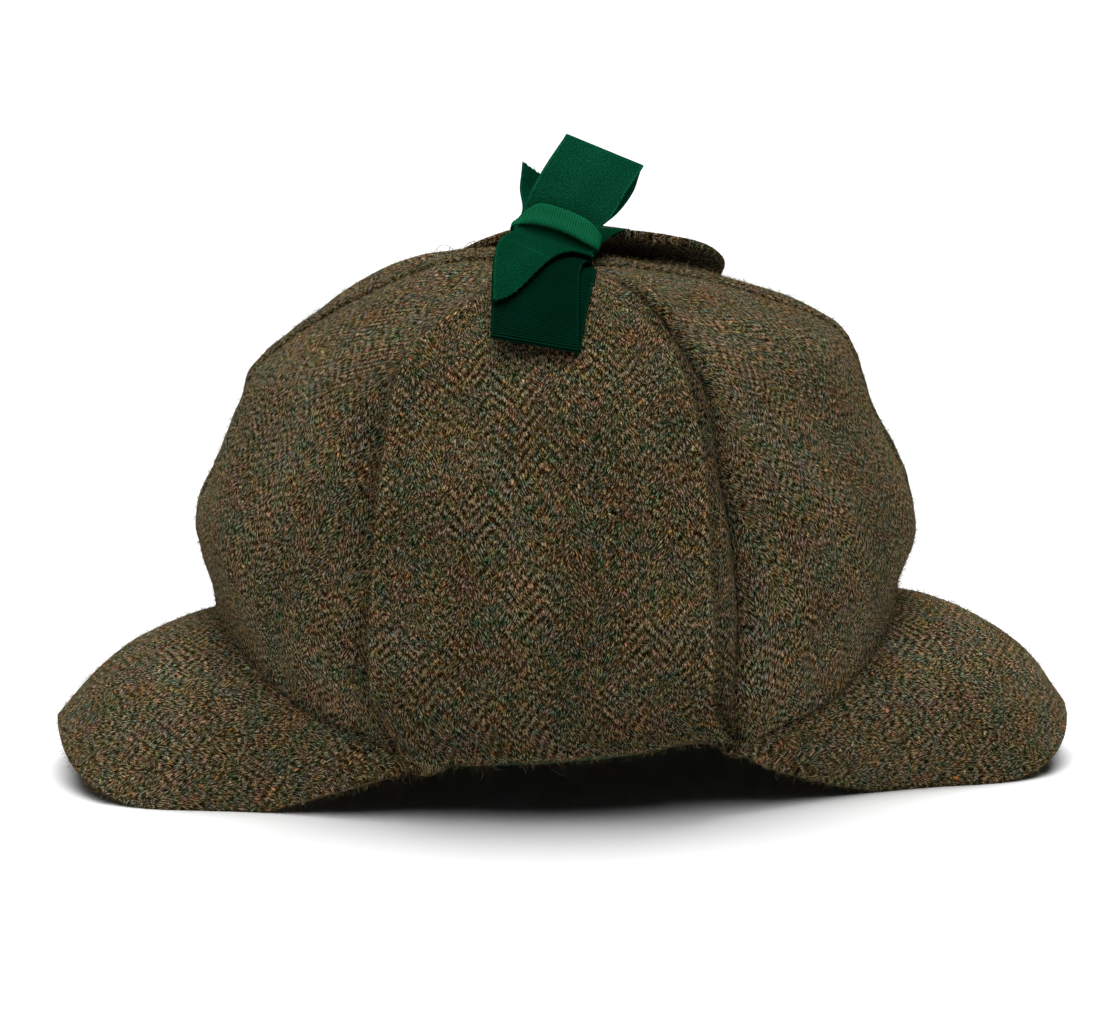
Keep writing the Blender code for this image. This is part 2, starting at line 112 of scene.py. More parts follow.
# The peaks: turn along the rim, reach, side, height of the outer edge.
PEAK_EDGES = {
    "peak_front": (
        (0.0, 158.3, 0.0, 16.8), (8.0, 157.4, 12.0, 15.0), (15.0, 155.0, 24.0, 11.0),
        (22.0, 150.0, 35.5, 6.8), (28.0, 142.0, 45.0, 3.0), (34.0, 128.5, 51.5, -0.8),
        (40.0, 113.0, 54.5, -1.4), (46.0, 97.0, 57.5, -0.9), (52.0, 81.0, 63.5, 4.8),
        (57.0, 66.0, 70.0, 10.5), (62.0, 51.0, 75.5, 16.6), (66.0, 42.0, 77.5, 19.4),
    ),
    "peak_back": (
        (0.0, 160.8, 0.0, 15.5), (8.0, 159.6, 11.0, 13.0), (15.0, 156.5, 21.5, 8.8),
        (22.0, 150.5, 30.5, 4.6), (28.0, 141.0, 36.5, 1.0), (34.0, 128.5, 39.5, -1.1),
        (40.0, 115.0, 41.0, -1.5), (46.0, 100.5, 44.5, -1.1), (52.0, 86.0, 51.0, 2.2),
        (57.0, 71.0, 60.0, 7.6), (62.0, 54.0, 70.5, 14.6), (65.0, 45.0, 76.6, 18.4),
    ),
}
PEAK_CROWNING = {"peak_front": 6.5, "peak_back": 8.8}  # how far a peak arches above a straight line
PEAK_FULL_LENGTH = 60.0  # a peak arches less where it is shorter than this
PEAK_UPWARD = (0.55, 0.85)  # it arches outwards by this share, and upwards by this one
PEAK_TUCK = (1.2, 0.6)  # the peak's seam lies this far in from and below the crown's rim

# The ear flaps: rise, front edge, back edge, lift.
HUB_HEIGHT = 67.0
REST_GAP = 0.5
FLAP_ROWS = {
    "ear_flap_left": (
        (-29.0, -52.0, 44.0, 0.0), (-22.0, -59.0, 38.5, 0.0), (-9.0, -59.5, 37.4, 0.5),
        (9.0, -57.8, 35.6, 1.0), (24.0, -55.8, 34.7, 1.2), (37.0, -53.3, 32.3, 0.8),
        (48.0, -50.0, 27.5, 0.5), (56.0, -42.0, 19.5, 0.3), (62.0, -29.0, 11.0, 0.2),
        (67.0, -19.0, 4.0, 0.0), (70.0, -12.0, -3.0, 0.0),
    ),
    "ear_flap_right": (
        (-29.0, -49.0, 50.0, 0.0), (-22.0, -54.0, 54.0, 0.0), (-9.0, -54.5, 54.0, 0.5),
        (9.0, -53.5, 53.5, 1.0), (24.0, -52.0, 53.0, 1.5), (37.0, -49.0, 52.0, 1.5),
        (48.0, -43.0, 51.5, 1.8), (58.0, -33.0, 52.0, 2.4), (66.0, -22.0, 52.0, 3.4),
        (72.0, -10.0, 47.0, 4.4), (77.0, 2.0, 38.0, 4.4), (81.0, 9.0, 24.0, 4.0),
    ),
}

# The lining band.
BAND_BELOW = 1.2
BAND_TOP_LEVEL = 0.16
BAND_GAP = 1.2

# The bow.
KNOT_CENTRE = np.array((-1.8, -7.2, 168.9))
KNOT_DIP, KNOT_SWING, KNOT_LEAN = 21.0, 4.0, 30.0
KNOT_HALF_OPENING = (13.6, 3.55)
KNOT_LENGTH = 7.8
KNOT_SQUEEZE = 0.9  # the ribbon's width inside the knot, against its full width
LAYER_STEP = 1.3  # from one layer of ribbon to the next
IN_KNOT = 0.6  # a ribbon's path has rows this far from the knot's middle and this far outside its edge
KNOT_LAYERS = {
    # the way out of the knot, up or down, and the layers in it at which the path starts and ends
    "bow_loop_upper": (1, 0.45, -0.45),
    "bow_loop_lower": (-1, 0.45, -0.45),
    "bow_tail_back": (1, -1.5),
}
TAIL_ROWS = 9  # the front tail lies on the lower loop's face, along this many rows of its path
TAIL_LIFT = (1.65, 2.5)  # in the knot and at its end
RIBBONS = {
    # x, y, z, dip, swing
    "bow_loop_upper": (
        (3.6, -3.0, 177.9, 21.0, 4.0), (8.2, 2.2, 184.4, 22.0, 4.0), (13.9, 9.6, 191.1, 23.0, 4.6),
        (14.4, 10.9, 191.7, 23.0, 4.6), (13.6, 11.4, 190.2, 23.0, 4.6), (10.9, 8.3, 183.8, 22.0, 4.0),
        (5.6, 2.8, 177.8, 21.0, 4.0),
    ),
    "bow_loop_lower": (
        (-3.9, -14.4, 164.2, 18.5, 2.0), (-4.9, -19.0, 164.6, 16.5, 1.0), (-7.2, -27.0, 165.2, 13.0, 0.0),
        (-9.6, -38.0, 163.9, 11.0, 0.0), (-10.9, -48.0, 160.1, 10.5, 0.0), (-11.7, -58.0, 154.8, 10.5, 0.0),
        (-12.2, -65.6, 149.6, 10.5, 0.0), (-12.6, -70.3, 145.1, 10.5, 0.0), (-12.5, -70.5, 143.8, 10.5, 0.0),
        (-12.3, -69.0, 143.7, 10.5, 0.0), (-10.8, -63.6, 148.0, 10.5, 0.0), (-9.2, -56.0, 153.0, 11.0, 0.0),
        (-7.4, -48.0, 157.3, 11.0, 0.0), (-5.6, -40.0, 160.8, 11.0, 0.0), (-4.4, -32.0, 162.3, 12.0, 0.0),
        (-3.9, -23.0, 161.9, 13.0, 0.0), (-3.7, -16.0, 162.5, 16.5, 1.0), (-3.5, -12.0, 163.1, 19.0, 3.0),
    ),
    "bow_tail_back": (
        (-0.3, 2.6, 176.3, 21.0, 4.0), (0.3, 5.4, 180.4, 21.0, 4.0), (0.9, 8.2, 184.2, 21.0, 4.0),
    ),
    "ribbon_tie_left": (
        (-7.0, -11.5, 159.7, 4.0, 0.0), (-8.0, -20.0, 159.0, 3.0, 0.0), (-8.5, -28.0, 158.8, 2.0, 0.0),
        (-9.0, -35.0, 160.1, 1.0, 0.0), (-9.0, -42.0, 157.6, 1.0, 0.0),
    ),
    "ribbon_tie_right": (
        (3.5, 1.4, 162.5, 8.0, -14.0), (7.0, 6.4, 164.2, 6.0, -20.0), (10.5, 11.2, 166.0, 5.0, -24.0),
        (14.0, 16.5, 166.6, 4.0, -26.0), (17.0, 22.0, 166.2, 4.0, -26.0),
    ),
}
RIBBON_FOLDED = {"ribbon_tie_left": 0.5, "ribbon_tie_right": 0.5}  # folded lengthwise to this share
# How far along its path a tail is cut at its left and right edge, and how late the cut moves between them.
CUTS = {"bow_tail_front": (0.95, 0.31, 1.6), "bow_tail_back": (1.0, 0.5, 1.0)}

# Meshes: lines this far from an edge, then lines this far apart, in millimetres.
EDGE_LINES = (0.0, 0.12, 0.4, 0.8, 1.3, 2.0, 3.0)
SEAM_LINES = (*EDGE_LINES, 3.9, 4.5, 4.9, 5.3, 5.8, 6.6)
CLOTH_STEP = 1.9
RIBBON_STEP = 0.8

# Camera: azimuth, elevation, distance in metres, and what it looks at. The photograph's width spans this many
# metres at that distance.
CAMERA_AZIMUTH, CAMERA_ELEVATION, CAMERA_DISTANCE = -4.0, 11.0, 1.4
CAMERA_TARGET = (-0.00155, 0.0, 0.082)
VIEW_WIDTH = 0.3494
SENSOR_WIDTH = 36.0

# Studio.
WORLD_COLOUR, WORLD_STRENGTH = (0.8, 0.85, 1.0, 1.0), 0.022
SUNS = {
    # tilt from straight overhead, turn from behind the hat, and spread, in degrees; strength
    "overhead": (13.0, 4.0, 54.0, 3.4),
    "front_above": (30.0, 189.0, 42.0, 1.6),
}
FLOOR_SECTIONS = (
    # radius and height of the floor, which turns up far away to make a low backdrop, in metres
    (0.0, 0.0), (9.0, 0.0), (11.0, 0.05), (12.5, 0.2), (13.5, 0.5),
)
FLOOR_SIDES = 96

FAR_FROM_SEAM = 99.0
LOWEST = 0.05  # nothing lies lower than this above the floor


def clipped(share):
    return np.clip(share, 0.0, 1.0)


def hump(away, width):
    """1 where away is 0, falling off over the width."""
    return np.exp(-((away / width) ** 2))


def stacked(*parts):
    return np.stack(parts, -1)


def cos_sin(angle):
    return np.cos(np.radians(angle)), np.sin(np.radians(angle))


def turn_from(start, turn):
    """The turn from one place round the crown to another, the shorter way round."""
    return (turn - start + 180.0) % 360.0 - 180.0


# Surfaces, as in the part's source, for arrays of places.


def curve_through(rows, at):
    """The rows' columns at each value of the first one, on smooth curves through all the rows."""
    rows = np.asarray(rows, float)
    at = np.asarray(at, float)
    last = len(rows) - 1
    step = np.clip(np.searchsorted(rows[:, 0], at, side="left") - 1, 0, last - 1)
    before, low = rows[np.maximum(step - 1, 0)], rows[step]
    high, after = rows[step + 1], rows[np.minimum(step + 2, last)]
    span = (high - low)[..., :1]
    t = clipped((at[..., None] - low[..., :1]) / span)
    start = (high - before) / (high - before)[..., :1] * span
    end = (after - low) / (after - low)[..., :1] * span
    return (
        low * (2 * t**3 - 3 * t**2 + 1)
        + start * (t**3 - 2 * t**2 + t)
        + high * (3 * t**2 - 2 * t**3)
        + end * (t**3 - t**2)
    )


def smooth_crown(turn, level):
    turn, level = np.broadcast_arrays(turn, level)
    rows = np.moveaxis(curve_through(CROWN_SECTIONS, level), -1, 0)
    _, front_reach, front_height, back_reach, back_height, side_reach, side_height = rows
    c, s = cos_sin(turn)
    reach = np.where(c > 0, back_reach, front_reach)
    height = np.where(c > 0, back_height, front_height)
    height = side_height + (height - side_height) * np.abs(c) ** RIM_SWEEP
    return stacked(reach * c, side_reach * s, height)


def unit(vectors):
    """The vectors at length 1."""
    return vectors / np.maximum(np.linalg.norm(vectors, axis=-1, keepdims=True), 1e-12)


def crown_normal(turn, level):
    level = np.minimum(level, 0.97)
    low, high = np.maximum(level - 0.01, 0.0), level + 0.01
    across = smooth_crown(np.add(turn, 1.0), level) - smooth_crown(np.subtract(turn, 1.0), level)
    upward = smooth_crown(turn, high) - smooth_crown(turn, low)
    return unit(np.cross(across, upward))


def swell_fade(level):
    near_rim = np.minimum(1.0, level / SWELL_RIM_LEVEL)
    return near_rim * np.minimum(1.0, (1.0 - level) / (1.0 - SWELL_TOP_LEVEL))


def gore_swell(share, level):
    """0 on a seam, most in the middle of a gore. The share runs from one seam (0) to the other (1)."""
    return GORE_SWELL * np.sin(np.pi * share) * swell_fade(level)


def fold_height(folds, turn, level):
    total = 0.0
    for from_turn, from_level, to_turn, to_level, width, height in folds:
        run = (to_level - from_level) * FOLD_LEVELS
        lean = to_turn - from_turn
        away = turn_from(from_turn, turn)
        up = (level - from_level) * FOLD_LEVELS
        along = (away * lean + up * run) / (lean**2 + run**2)
        held = clipped(along)
        aside = np.hypot(away - held * lean, up - held * run)
        ends = np.sin(np.pi * clipped(along * FOLD_SINE[1] + FOLD_SINE[0]))
        total = total + height * hump(aside, width) * ends
    return total


def turn_share(turn):
    """Where a turn lies between the two seams of its gore."""
    seams = np.array(sorted(seams[0] for seams in GORE_SEAMS.values()) + [360.0])
    turn = turn % 360.0
    number = np.clip(np.searchsorted(seams, turn, side="right") - 1, 0, len(seams) - 2)
    return (turn - seams[number]) / (seams[number + 1] - seams[number])


def crown_relief(turn, level):
    """How far the crown's outer side stands out from its smooth form."""
    return gore_swell(turn_share(turn), level) + fold_height(CROWN_FOLDS, turn, level)


def peak_point(name, turn, out):
    """Places on a peak's upper side: turn along the rim, out from the rim (0) to the peak's edge (1)."""
    facing, forward = (180.0, -1.0) if name == "peak_front" else (0.0, 1.0)
    turn, out = np.broadcast_arrays(turn, out)
    seam = smooth_crown(facing + turn, np.zeros_like(turn))
    outward = stacked(*cos_sin(facing + turn), np.zeros_like(turn))
    seam = seam - outward * PEAK_TUCK[0] - np.array((0.0, 0.0, PEAK_TUCK[1]))
    row = curve_through(PEAK_EDGES[name], np.abs(turn))
    left = np.where((turn > 0) == (name == "peak_front"), 1.0, -1.0)
    edge = stacked(forward * row[..., 1], -left * row[..., 2], row[..., 3])
    chord = edge - seam
    length = np.linalg.norm(chord, axis=-1)
    lift = PEAK_CROWNING[name] * np.sin(np.pi * out) * np.minimum(1.0, length / PEAK_FULL_LENGTH)
    upward = outward * PEAK_UPWARD[0] + np.array((0.0, 0.0, PEAK_UPWARD[1]))
    return seam + chord * out[..., None] + upward * lift[..., None]


def place_on_side(x, rise, side):
    """The turn and level at which the smooth crown's side is at x and seen from its hub at this rise."""

    def reach_and_turn(level):
        row = curve_through(CROWN_SECTIONS, level)
        reach = np.where(x > 0, row[..., 3], row[..., 1])
        cosine = np.clip(x / np.maximum(reach, 1e-6), -1.0, 1.0)
        return reach, np.degrees(np.arccos(cosine)) * side

    low, high = np.zeros_like(x), np.ones_like(x)
    for _ in range(40):
        level = (low + high) / 2
        reach, turn = reach_and_turn(level)
        found = smooth_crown(turn, level)
        above = np.degrees(np.arctan2(found[..., 2] - HUB_HEIGHT, np.abs(found[..., 1]))) > rise
        above |= np.abs(x) >= reach
        low, high = np.where(above, low, level), np.where(above, level, high)
    return reach_and_turn(low)[1], low


def flap_point(name, share, rise):
    """The flap's inner side, and the direction out of it."""
    share, rise = np.broadcast_arrays(share, rise)
    side = -1.0 if name == "ear_flap_left" else 1.0
    row = curve_through(FLAP_ROWS[name], rise)
    x = row[..., 1] + (row[..., 2] - row[..., 1]) * share
    turn, level = place_on_side(x, rise, side)
    clear = GORE_SWELL * swell_fade(level) + REST_GAP + row[..., 3]
    normal = crown_normal(turn, level)
    return smooth_crown(turn, level) + normal * clear[..., None], normal


def width_direction(dip, swing):
    """The direction across a ribbon that dips to its right and is swung round."""
    (level, down), (c, s) = cos_sin(dip), cos_sin(swing)
    return stacked(c * level, s * level, -down)


def knot_axes():
    """The directions across the knot, out of its face, and up it."""
    across = width_direction(KNOT_DIP, KNOT_SWING)
    leaning = np.array((0.0, *cos_sin(KNOT_LEAN)[::-1]))
    up = unit(leaning - across * leaning.dot(across))
    return across, np.cross(across, up), up


def rows_in_knot(layer, way):
    across, facing, up = knot_axes()
    for along in (IN_KNOT, KNOT_LENGTH / 2 + IN_KNOT):
        place = KNOT_CENTRE + facing * layer * LAYER_STEP + up * along * way
        yield (*place, KNOT_DIP, KNOT_SWING, KNOT_SQUEEZE)


def run_along(line):
    """The distance along a line of places from its start."""
    return np.concatenate([[0.0], np.cumsum(np.linalg.norm(np.diff(line, axis=0), axis=1))])


def ribbon_path(name):
    """Rows of a ribbon's path: run, place, dip, swing, and share of its full width."""
    way, *layers = KNOT_LAYERS.get(name, (0,))
    rows = [(*row, RIBBON_FOLDED.get(name, 1.0)) for row in RIBBONS[name]]
    if layers:
        rows = list(rows_in_knot(layers[0], way)) + rows
    if len(layers) > 1:
        rows += reversed(list(rows_in_knot(layers[1], way)))
    rows = np.array(rows)
    return np.column_stack([run_along(rows[:, :3]), rows])


def ribbon_point(path, along, aside):
    """Places on a ribbon: along its path from 0 to 1, and aside from its middle line, -0.5 to 0.5."""
    along, aside = np.broadcast_arrays(along, aside)
    place = along * (len(path) - 1)
    step = np.clip(place.astype(int), 0, len(path) - 2)
    distance = path[step, 0] + (path[step + 1, 0] - path[step, 0]) * (place - step)
    row = curve_through(path, distance)
    width = width_direction(row[..., 4], row[..., 5]) * row[..., 6:7] * RIBBON_WIDTH
    return row[..., 1:4] + width * aside[..., None]


# Cloth shells.


def spaced(length, step=CLOTH_STEP, near_edge=EDGE_LINES):
    """Shares of a length, close together near its ends where a cloth's edge is rolled."""
    near_edge = [line for line in near_edge if line < length / 2]
    lines = {*near_edge, *(length - line for line in near_edge)}
    inner = [line for line in lines if line < length / 2]
    outer = [line for line in lines if line >= length / 2]
    count = max(int(round((min(outer) - max(inner)) / step)), 1)
    lines.update(np.linspace(max(inner), min(outer), count + 1)[1:-1])
    return np.array(sorted(lines)) / length


def lengths_along(grid, axis):
    """The distance along a grid's lines from where they start."""
    steps = np.linalg.norm(np.diff(grid, axis=axis), axis=-1)
    return np.cumsum(np.pad(steps, ((1 - axis, 0), (axis, 0))), axis=axis)


def cell_areas(grid):
    across, along = grid[:-1, 1:] - grid[:-1, :-1], grid[1:, :-1] - grid[:-1, :-1]
    return np.linalg.norm(np.cross(across, along), axis=-1)


def grid_normals(grid, closed=False):
    """Unit normals of a grid of places (rows, columns, 3)."""
    if closed:
        across = np.roll(grid, -1, axis=1) - np.roll(grid, 1, axis=1)
    else:
        across = np.gradient(grid, axis=1)
    return unit(np.cross(across, np.gradient(grid, axis=0)))


def edge_distance(grid):
    """How far each place of a grid is from its nearest edge, along the grid's lines."""
    across, along = lengths_along(grid, 1), lengths_along(grid, 0)
    ends = np.minimum(across, across[:, -1:] - across), np.minimum(along, along[-1:] - along)
    return np.minimum(*ends)


def centred_map(grid):
    """Places on the flat cloth: across from the middle line, and along that line."""
    across, along = lengths_along(grid, 1), lengths_along(grid, 0)
    middle = slice(grid.shape[1] // 2, grid.shape[1] // 2 + 1)
    return stacked(across - across[:, middle], np.broadcast_to(along[:, middle], across.shape))


def turned(flat, angle):
    """A flat layout turned by an angle."""
    c, s = cos_sin(angle)
    return flat @ np.array(((c, s), (-s, c)))


def placed(name, data):
    """A new object in the scene."""
    made = bpy.data.objects.new(name, data)
    bpy.context.scene.collection.objects.link(made)
    return made


def mesh_piece(name, places, faces, maps, material):
    """A mesh of places in millimetres from the crown's middle, with its named maps."""
    mesh = bpy.data.meshes.new(name)
    mesh.from_pydata(((places + CROWN_CENTRE) * MM).tolist(), [], [list(face) for face in faces])
    corners = np.empty(len(mesh.loops), np.int32)
    mesh.loops.foreach_get("vertex_index", corners)
    for map_name, flat in maps.items():
        layer = mesh.uv_layers.new(name=map_name)
        layer.data.foreach_set("uv", flat[corners].astype(np.float32).ravel())
    mesh.materials.append(material)
    mesh.shade_smooth()
    piece = placed(name, mesh)
    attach(piece, "root")
    return piece


def shell(name, middle, thickness, material, map_of, seams=None, closed=False, lowest=None):
    """A closed cloth shell with rounded edges round the grid of its middle.

    map_of gives the places on the flat cloth from the grid of the outer side. seams holds each place's
    distance from a seam and its painted shade. closed joins the last column to the first. The
    result is the piece and the grids of its outer side, its normals and its places on the flat cloth.
    """
    rows, columns = middle.shape[:2]
    normals = grid_normals(middle, closed)
    if closed:
        along = lengths_along(middle, 0)
        from_edge = np.minimum(along, along[-1:] - along)
    else:
        from_edge = edge_distance(middle)
    rounding = clipped(from_edge / (thickness / 2))
    half = (thickness / 2 * np.sqrt(1.0 - (1.0 - rounding) ** 2))[..., None]
    outer, inner = middle + normals * half, middle - normals * half
    flat = map_of(outer)
    seams = np.broadcast_to((FAR_FROM_SEAM, 0.0), flat.shape) if seams is None else seams
    first = np.arange(rows * columns).reshape(rows, columns)
    second = first.copy()
    inside = (slice(1, -1), slice(None)) if closed else (slice(1, -1), slice(1, -1))
    second[inside] = rows * columns + np.arange(second[inside].size).reshape(second[inside].shape)

    def both(of_outer, of_inner):
        return np.concatenate([part.reshape(-1, part.shape[-1]) for part in (of_outer, of_inner[inside])])

    def quads(index):
        if closed:
            index = np.concatenate([index, index[:, :1]], axis=1)
        return stacked(index[:-1, :-1], index[:-1, 1:], index[1:, 1:], index[1:, :-1]).reshape(-1, 4)

    places = both(outer, inner)
    if lowest is not None:
        places[:, 2] = np.maximum(places[:, 2], lowest)
    faces = np.concatenate([quads(first), quads(second)[:, ::-1]])
    maps = {"cloth": both(flat, flat), "seam": both(seams, seams)}
    return mesh_piece(name, places, faces, maps, material), outer, normals, flat


def cloth_piece(node, slot, *shape, **settings):
    """The shell that stands for a CAD node, and what else shell gives."""
    made = shell(node + "_cloth", *shape, **settings)
    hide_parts(node)
    return made


# A soft relief's number of waves, how their lengths range, and what brings their sum to about 1.
RELIEF_WAVES, RELIEF_RANGE, RELIEF_SUM = 7, (0.7, 1.5), 3.0


def soft_relief(places, wavelength, seed):
    """A random soft relief between about -1 and 1."""
    rng = np.random.default_rng(seed)
    total = 0.0
    for _ in range(RELIEF_WAVES):
        direction = unit(rng.normal(size=3))
        wave = 2 * np.pi / (wavelength * rng.uniform(*RELIEF_RANGE))
        total = total + np.sin(places @ direction * wave + rng.uniform(0.0, 2 * np.pi))
    return total / RELIEF_SUM


# The height and wavelength of each kind of cloth's unevenness, and the seed of its random draws.
UNEVENNESS = {
    "gore": ((0.55, 34.0, 3), (0.16, 12.0, 5)),
    "peak": ((0.5, 45.0, 21), (0.12, 11.0, 22)),
    "flap": ((0.5, 40.0, 31), (0.14, 12.0, 32)),
}


def uneven(places, kind):
    waves = UNEVENNESS[kind]
    return sum(height * soft_relief(places, wavelength, seed) for height, wavelength, seed in waves)


# Wool fuzz: fibres that stand off the cloth's outer side.
FUZZ_PER_SQUARE_CENTIMETRE = 56
FUZZ_MOST = 15000
FUZZ_LENGTH = (0.9, 3.1)
FUZZ_SHORTENED = 0.7
FUZZ_SKEW = 1.3  # makes more of them short and lying than long and standing
FUZZ_WIDTH = 0.1
FUZZ_STANDING, FUZZ_TIP_STANDING = (0.15, 1.0), (0.4, 1.1)
FUZZ_LONG_SHARE, FUZZ_LONGER = 0.012, 2.2
FUZZ_BEND, FUZZ_TWIST = 0.35, 0.8
FUZZ_SWAY, FUZZ_RETURN = 0.3, 0.5  # a blade's middle sways aside by this share, and its tip back by this one
FUZZ_ROOT = 0.15  # its depth in the cloth
BLADE_PLACES = 5
EDGE_FUZZ_PER_MM = 3.0
EDGE_FUZZ_OUT, EDGE_FUZZ_UP = 1.2, 0.3  # it points out of the cloth's edge and off its face by these shares


def open_edges(name):
    """The lines of a grid that are open edges of the cloth, each with the line three places inside it."""
    first, last = (0, 3), (-1, -4)
    if name.startswith(("crown", "peak")):
        return [first]
    whole = slice(None)
    return [first, last, *(((whole, edge), (whole, inner)) for edge, inner in (first, last))]


def make_fuzz(name, outer, normals, flat, material, seed):
    """Bent blades of three triangles each, spread evenly over the grid of a cloth's outer side."""
    rng = np.random.default_rng(seed)
    areas = cell_areas(outer).ravel()
    count = min(int(areas.sum() / 100.0 * FUZZ_PER_SQUARE_CENTIMETRE), FUZZ_MOST)
    cell = np.searchsorted(np.cumsum(areas), rng.uniform(0.0, areas.sum(), count)).clip(0, areas.size - 1)
    row, column = np.divmod(cell, outer.shape[1] - 1)
    down, right = rng.uniform(size=(2, count, 1))

    def inside(grid):
        top = grid[row, column] * (1 - right) + grid[row, column + 1] * right
        bottom = grid[row + 1, column] * (1 - right) + grid[row + 1, column + 1] * right
        return top * (1 - down) + bottom * down

    def on_line(values):
        return np.stack([np.interp(at, run, values[:, axis]) for axis in range(3)], -1)

    root, up, map_place = inside(outer), unit(inside(normals)), inside(flat)
    # More of them stand off the cloth's open edges.
    for edge, inner_line in open_edges(name):
        line, back = outer[edge], outer[inner_line]
        run = run_along(line)
        at = rng.uniform(0.0, run[-1], int(run[-1] * EDGE_FUZZ_PER_MM))
        off = unit(unit(line - back) * EDGE_FUZZ_OUT + normals[edge] * EDGE_FUZZ_UP)
        root, up = np.concatenate([root, on_line(line)]), np.concatenate([up, on_line(off)])
        map_place = np.concatenate([map_place, rng.uniform(0.0, 100.0, (len(at), 2))])
    count = len(root)
    lying = rng.normal(size=(count, 3))
    lying = unit(lying - up * (lying * up).sum(-1, keepdims=True))
    length = rng.uniform(*FUZZ_LENGTH, size=(count, 1)) ** FUZZ_SKEW * FUZZ_SHORTENED
    length[rng.uniform(size=(count, 1)) < FUZZ_LONG_SHARE] *= FUZZ_LONGER
    standing = rng.uniform(*FUZZ_STANDING, size=(count, 1)) ** FUZZ_SKEW
    bend = unit(np.cross(up, lying)) * rng.normal(0.0, FUZZ_BEND, size=(count, 1))
    middle = root + length * (lying * 0.5 + up * standing * 0.5 + bend * FUZZ_SWAY)
    tip_standing = standing * rng.uniform(*FUZZ_TIP_STANDING, size=(count, 1))
    tip = root + length * (lying + up * tip_standing - bend * FUZZ_RETURN)
    root = root - up * FUZZ_ROOT
    wide = unit(np.cross(up, lying) + up * rng.normal(0.0, FUZZ_TWIST, size=(count, 1))) * FUZZ_WIDTH / 2
    places = np.stack([root - wide, root + wide, middle + wide, middle - wide, tip], 1).reshape(-1, 3)
    places[:, 2] = np.maximum(places[:, 2], LOWEST)
    start = np.arange(count)[:, None] * BLADE_PLACES
    faces = [*(start + np.array((0, 1, 2, 3))).tolist(), *(start + np.array((3, 2, 4))).tolist()]
    maps = np.repeat(map_place[:, None], BLADE_PLACES, axis=1).reshape(-1, 2)
    return mesh_piece(name, places, faces, {"cloth": maps}, material)


# Loose threads.
THREAD_SIDES = 5
THREAD_POINTS = 14
THREAD_TAPER, THREAD_FULLNESS = (0.12, 0.88), 0.3  # it is thin at its ends like this much of a sine wave
THREAD_MAP = (0.1, 0.4)  # the steps of its map, round it and along it
THREAD_WANDER, THREAD_CURL, THREAD_CURL_START, THREAD_SEED = 0.35, (4.0, 8.0), (0.0, 6.0), 77
THREAD_ROOT = 0.1  # its depth in the cloth
THREAD_CLEAR = 0.2  # how far its middle line keeps above the floor
THREADS = (
    # what it lies on, across and up from the view's middle, bearing, length, rise, ends on the cloth, kind
    ("crown_front_right", -39.9, 79.9, 20.0, 6.4, 2.0, True, "grey"),
    ("crown_front_right", -30.6, 82.2, 12.0, 6.8, 2.1, True, "grey"),
    ("ear_flap_left", -48.4, -43.0, -25.0, 5.6, 1.0, True, "pale"),
    ("ear_flap_left", -27.5, 20.3, 250.0, 4.2, 0.6, True, "pale"),
    ("crown_side_left", -25.0, -82.5, 268.0, 4.4, 0.9, False, "wool"),
    ("crown_side_left", -12.5, -81.8, 312.0, 3.8, 0.8, False, "wool"),
    ("crown_side_left", -4.7, -81.0, 326.0, 7.6, 1.4, False, "grey"),
    ("crown_side_left", -51.5, -85.6, 300.0, 4.4, 1.2, False, "wool"),
    ("crown_side_left", -49.5, -85.4, 236.0, 4.8, 1.6, True, "wool"),
    ("peak_front", -116.0, -94.6, 276.0, 3.2, 0.8, False, "wool"),
    ("peak_back", 63.0, -94.8, 262.0, 2.4, 0.6, False, "wool"),
    ("peak_back", 122.9, -85.8, 30.0, 1.3, 0.25, True, "orange"),
)


def view_axes():
    """Right, up and back in the photograph's view."""
    (c, s), (level, high) = cos_sin(CAMERA_AZIMUTH), cos_sin(CAMERA_ELEVATION)
    right, back = np.array((c, s, 0.0)), np.array((s * level, -c * level, high))
    return right, np.cross(back, right), back


def in_view(places):
    """Where places show in the photograph's view, across and up from its middle."""
    right, up, back = view_axes()
    from_target = places + CROWN_CENTRE - np.array(CAMERA_TARGET) / MM
    nearer = 1.0 - from_target @ back * MM / CAMERA_DISTANCE
    return stacked(from_target @ right, from_target @ up) / nearer[..., None]


def tube(path, radius, aside):
    """Rings of places round a path, given a direction aside from it."""
    onward = unit(np.gradient(path, axis=0))
    side = unit(np.cross(onward, aside))
    angle = np.linspace(0.0, 2 * np.pi, THREAD_SIDES, endpoint=False)[:, None]
    across = np.cos(angle) * side[:, None] + np.sin(angle) * np.cross(onward, side)[:, None]
    thin = np.sin(np.linspace(*THREAD_TAPER, len(path)) * np.pi) ** THREAD_FULLNESS
    return path[:, None] + across * radius * thin[:, None, None]


def tubes_piece(name, tubes, material):
    """One mesh of several threads."""
    places, faces, maps = [], [], []
    ring = np.arange(THREAD_SIDES)
    for rings in tubes:
        start = sum(len(part) for part in places)
        count = len(rings)
        for row in range(count - 1):
            low, next_low = (start + row * THREAD_SIDES + side for side in (ring, np.roll(ring, -1)))
            faces += stacked(low, next_low, next_low + THREAD_SIDES, low + THREAD_SIDES).tolist()
        faces += [(start + ring[::-1]).tolist(), (start + (count - 1) * THREAD_SIDES + ring).tolist()]
        places.append(rings.reshape(-1, 3))
        along = np.repeat(np.arange(count) * THREAD_MAP[1], THREAD_SIDES)
        maps.append(stacked(np.tile(ring * THREAD_MAP[0], count), along))
    return mesh_piece(name, np.concatenate(places), faces, {"cloth": np.concatenate(maps)}, material)


